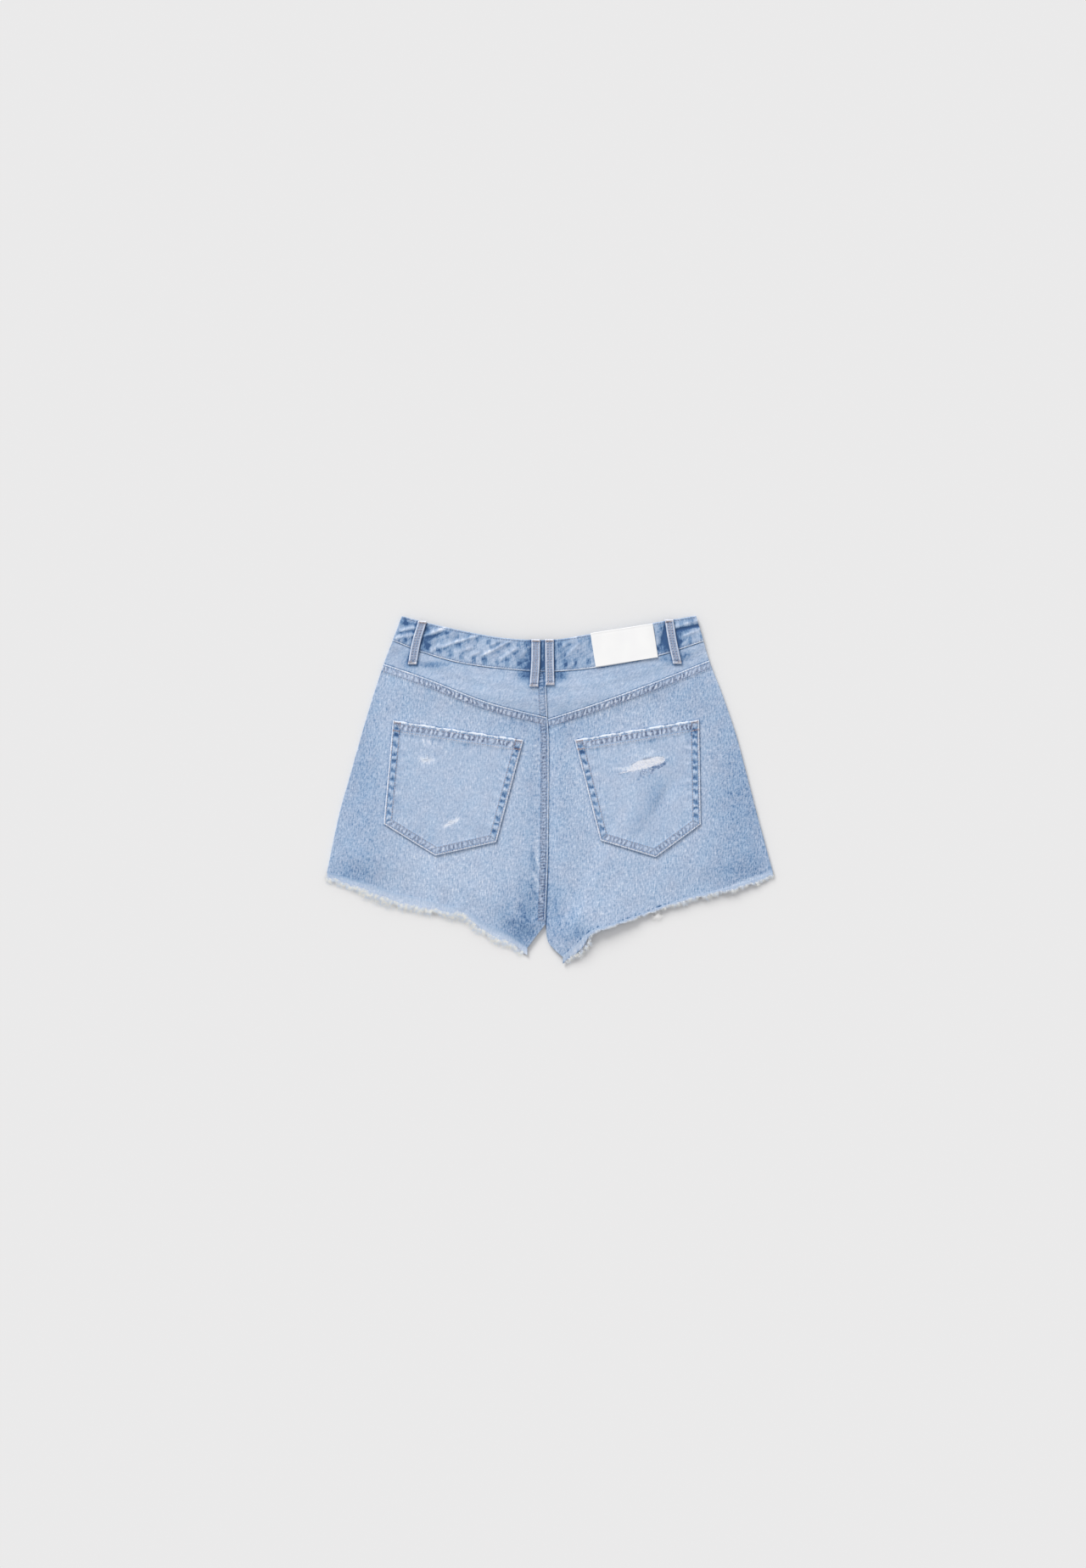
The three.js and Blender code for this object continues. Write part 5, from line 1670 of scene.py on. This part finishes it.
# Rubbed spots
# Where the left pocket is rubbed thin, short ends of the bare weft lie loose on it.
rub_strands = []
for mid_x, mid_y, reach_x, reach_y, _ in rubbed:
    for i in range(10):
        x, y = mid_x + rng.normal(0, reach_x * 0.42), mid_y + rng.normal(0, reach_y * 0.42)
        turn = rng.normal(0.25, 0.4)
        long = rng.uniform(1.5, 4)
        points = []
        for k in (-0.5, 0, 0.5):
            px, py = x + k * long * math.cos(turn), y + k * long * math.sin(turn)
            points.append((px, py, top_of(px, py)[0].z / MM + 0.05 + rng.uniform(0, 0.12)))
        rub_strands.append((points, 0.5, 0))
rub_yarn = thread_material("rub_yarn", (186, 210, 246), (226, 237, 253), 400.0, fuzzy=True)
rubbed_yarns = threads("rubbed_yarns", rub_strands, 0.1, [rub_yarn])

# Frayed hems
# Both layers are cut off raw. Washing has raised a pale nap along each edge, and the loose ends of
# its yarns stand out past it, uneven in length.
nap_yarn = thread_material("nap_yarn", (180, 202, 238), (214, 228, 250), 200.0, fuzzy=True)
end_yarn = thread_material("end_yarn", (222, 233, 248), (255, 255, 250), 260.0, fuzzy=True)


def nap_strip(name, hem, nap, from_x, to_x):
    """The loosened edge of a back leg, between its hem and the end of its nap."""
    tooth = rng.uniform(-0.5, 0.5, 700)

    def foot(s):
        x = mix(from_x, to_x, s)
        return point(x, hem(x) - nap_end(x, nap) + tooth[np.rint(s * 699).astype(int)])

    def head(s):
        x = mix(from_x, to_x, s)
        return point(x, hem(x) + 1.2)

    plan = panel(lambda t: mix(foot(np.array(0.0)), head(np.array(0.0)), np.asarray(t)[..., None]),
                 lambda t: mix(foot(np.array(1.0)), head(np.array(1.0)), np.asarray(t)[..., None]), foot, head)

    def over(x, y, s, t):
        past = np.maximum(hem(x) - y, 0)
        edge = y - hem(x) + nap_end(x, nap)
        return back_over(x, y) + 0.1 - 0.1 * past + rounded(edge, 0.5)

    def looks(x, y, s, t):
        ended = nap_end(x, nap)
        wash = hem_wash(0.63 + spots(leg_wash, x, y), x, y - hem(x), ended)
        gaps = ease(np.cos(tuft_turn(x)) * 2 - 0.4) * (x > 14) * (x < 48)
        return wash - 0.7 * gaps * bell((y - hem(x) + ended - 1.4) / 1.6), *unseamed(x)

    return cloth(name, plan, (to_x - from_x, 9), over, 0.8, [nap_denim], looks, [], step=1)


def frayed(name, hem, from_x, to_x, layer, fluff, ends, nap, reach, node):
    """The nap's fluff and the loose ends of one hem, in uneven tufts."""
    count = fluff + ends
    loose = np.arange(count) >= fluff
    x = rng.uniform(from_x, to_x, count)
    x = np.clip(x + 0.6 * loose * np.sin(tuft_turn(x)), from_x, to_x)
    slope = (hem(x + 1) - hem(x - 1)) / 2
    out = np.arctan2(-1, slope)
    tuft_x = np.arange(from_x, to_x + 4, 3.6)
    tuft_lean = np.interp(x, tuft_x, rng.normal(0, 0.35, len(tuft_x)))
    tuft_long = np.interp(x, tuft_x, rng.uniform(0.05, 1.1, len(tuft_x)))
    turn = out + np.where(loose, tuft_lean + rng.normal(0, 0.25, count), rng.normal(0, 0.9, count))
    share = rng.random(count)
    ended = nap_end(x, nap)
    depth = ended - np.where(loose, 3.0, 5.0) * share * np.minimum(1, ended / 6) - 0.3
    root_x, root_y = x + np.cos(out) * depth, hem(x) + np.sin(out) * depth
    past = np.maximum(reach(x) - nap(x), 1.5)
    long = np.where(loose, past * (0.15 + tuft_long) * rng.uniform(0.4, 1.3, count) + share,
                    rng.uniform(1.0, 2.2, count))
    above = np.where(loose, rng.uniform(-0.1, 0.2, count), 0.1)
    root_z = layer(root_x, root_y) + above - 0.1 * np.maximum(depth, 0)
    sag = np.where(loose, rng.uniform(-0.01, 0.04, count), rng.uniform(-0.05, 0.0, count))
    curl = rng.normal(0, 0.3, count)
    lines = []
    for k in (0, 0.5, 1):
        ahead, aside = long * k, long * curl * k * k
        place_x = root_x + np.cos(turn) * ahead - np.sin(turn) * aside
        place_y = root_y + np.sin(turn) * ahead + np.cos(turn) * aside
        lines.append(np.stack([place_x, place_y, np.maximum(0.3, root_z - sag * (long * k) ** 2)], 1))
    strands = [(points, 0.4, int(end)) for points, end in zip(np.stack(lines, 1), loose)]
    piece = threads(name, strands, 0.13, [nap_yarn, end_yarn], fluffy=True)
    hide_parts(node)
    return piece


def front_layer(x, y):
    return lift(x, y) + DENIM


def front_hem(hem):
    return lambda x: hem(x) + FRONT_SHORTER


# How far the loose ends reach past each hem: across, length
reach_left = through(
    (-264, 13), (-226, 16), (-194, 19), (-162, 20), (-130, 19), (-98, 16), (-66, 19), (-27, 17)
)
reach_right = through(
    (14, 13), (22, 14.5), (36, 15.5), (52, 5.5), (84, 3.6), (140, 4.6), (164, 7.5), (212, 9), (262, 9)
)
naps = [
    nap_strip("nap_back_left", hem_left, nap_left, -263.5, -27.5),
    nap_strip("nap_back_right", hem_right, nap_right, 14.5, 262),
]
frays = [
    frayed("fray_back_left", hem_left, -264, -27, back_over, 1700, 5600, nap_left, reach_left,
           "frayed_hem_back_left"),
    frayed("fray_back_right", hem_right, 14, 262, back_over, 1000, 2600, nap_right, reach_right,
           "frayed_hem_back_right"),
    frayed("fray_front_left", front_hem(hem_left), -262, -29, front_layer, 200, 900, nap_left, reach_left,
           "frayed_hem_front_left"),
    frayed("fray_front_right", front_hem(hem_right), 16, 260, front_layer, 200, 900, nap_right, reach_right,
           "frayed_hem_front_right"),
]

# Lint
# A tuft of waste cotton that hangs from the right hem by one thread, and lies on the table.
LINT_X, LINT_Y = 126.5, -151
lint_strands = [([(LINT_X + 1, -144, 5.5), (LINT_X + 0.5, -147.5, 3.4), (LINT_X, LINT_Y, 1.2)], 1.0, 0)]
for i in range(130):
    middle = np.array([LINT_X, LINT_Y, 3.4]) + rng.normal(0, 1, 3) * (2.2, 1.5, 0.5)
    bend = rng.normal(0, 1, (4, 3)) * (1.0, 0.8, 0.4)
    points = middle + np.cumsum(bend, 0) - bend.sum(0) / 2
    points[:, 2] = np.maximum(points[:, 2], 0.3)
    lint_strands.append((points, 0.6, 0))
lint_yarn = thread_material("lint_yarn", (252, 252, 252), (255, 255, 255), fuzzy=True)
lint = threads("lint_tuft", lint_strands, 0.24, [lint_yarn], fluffy=True)
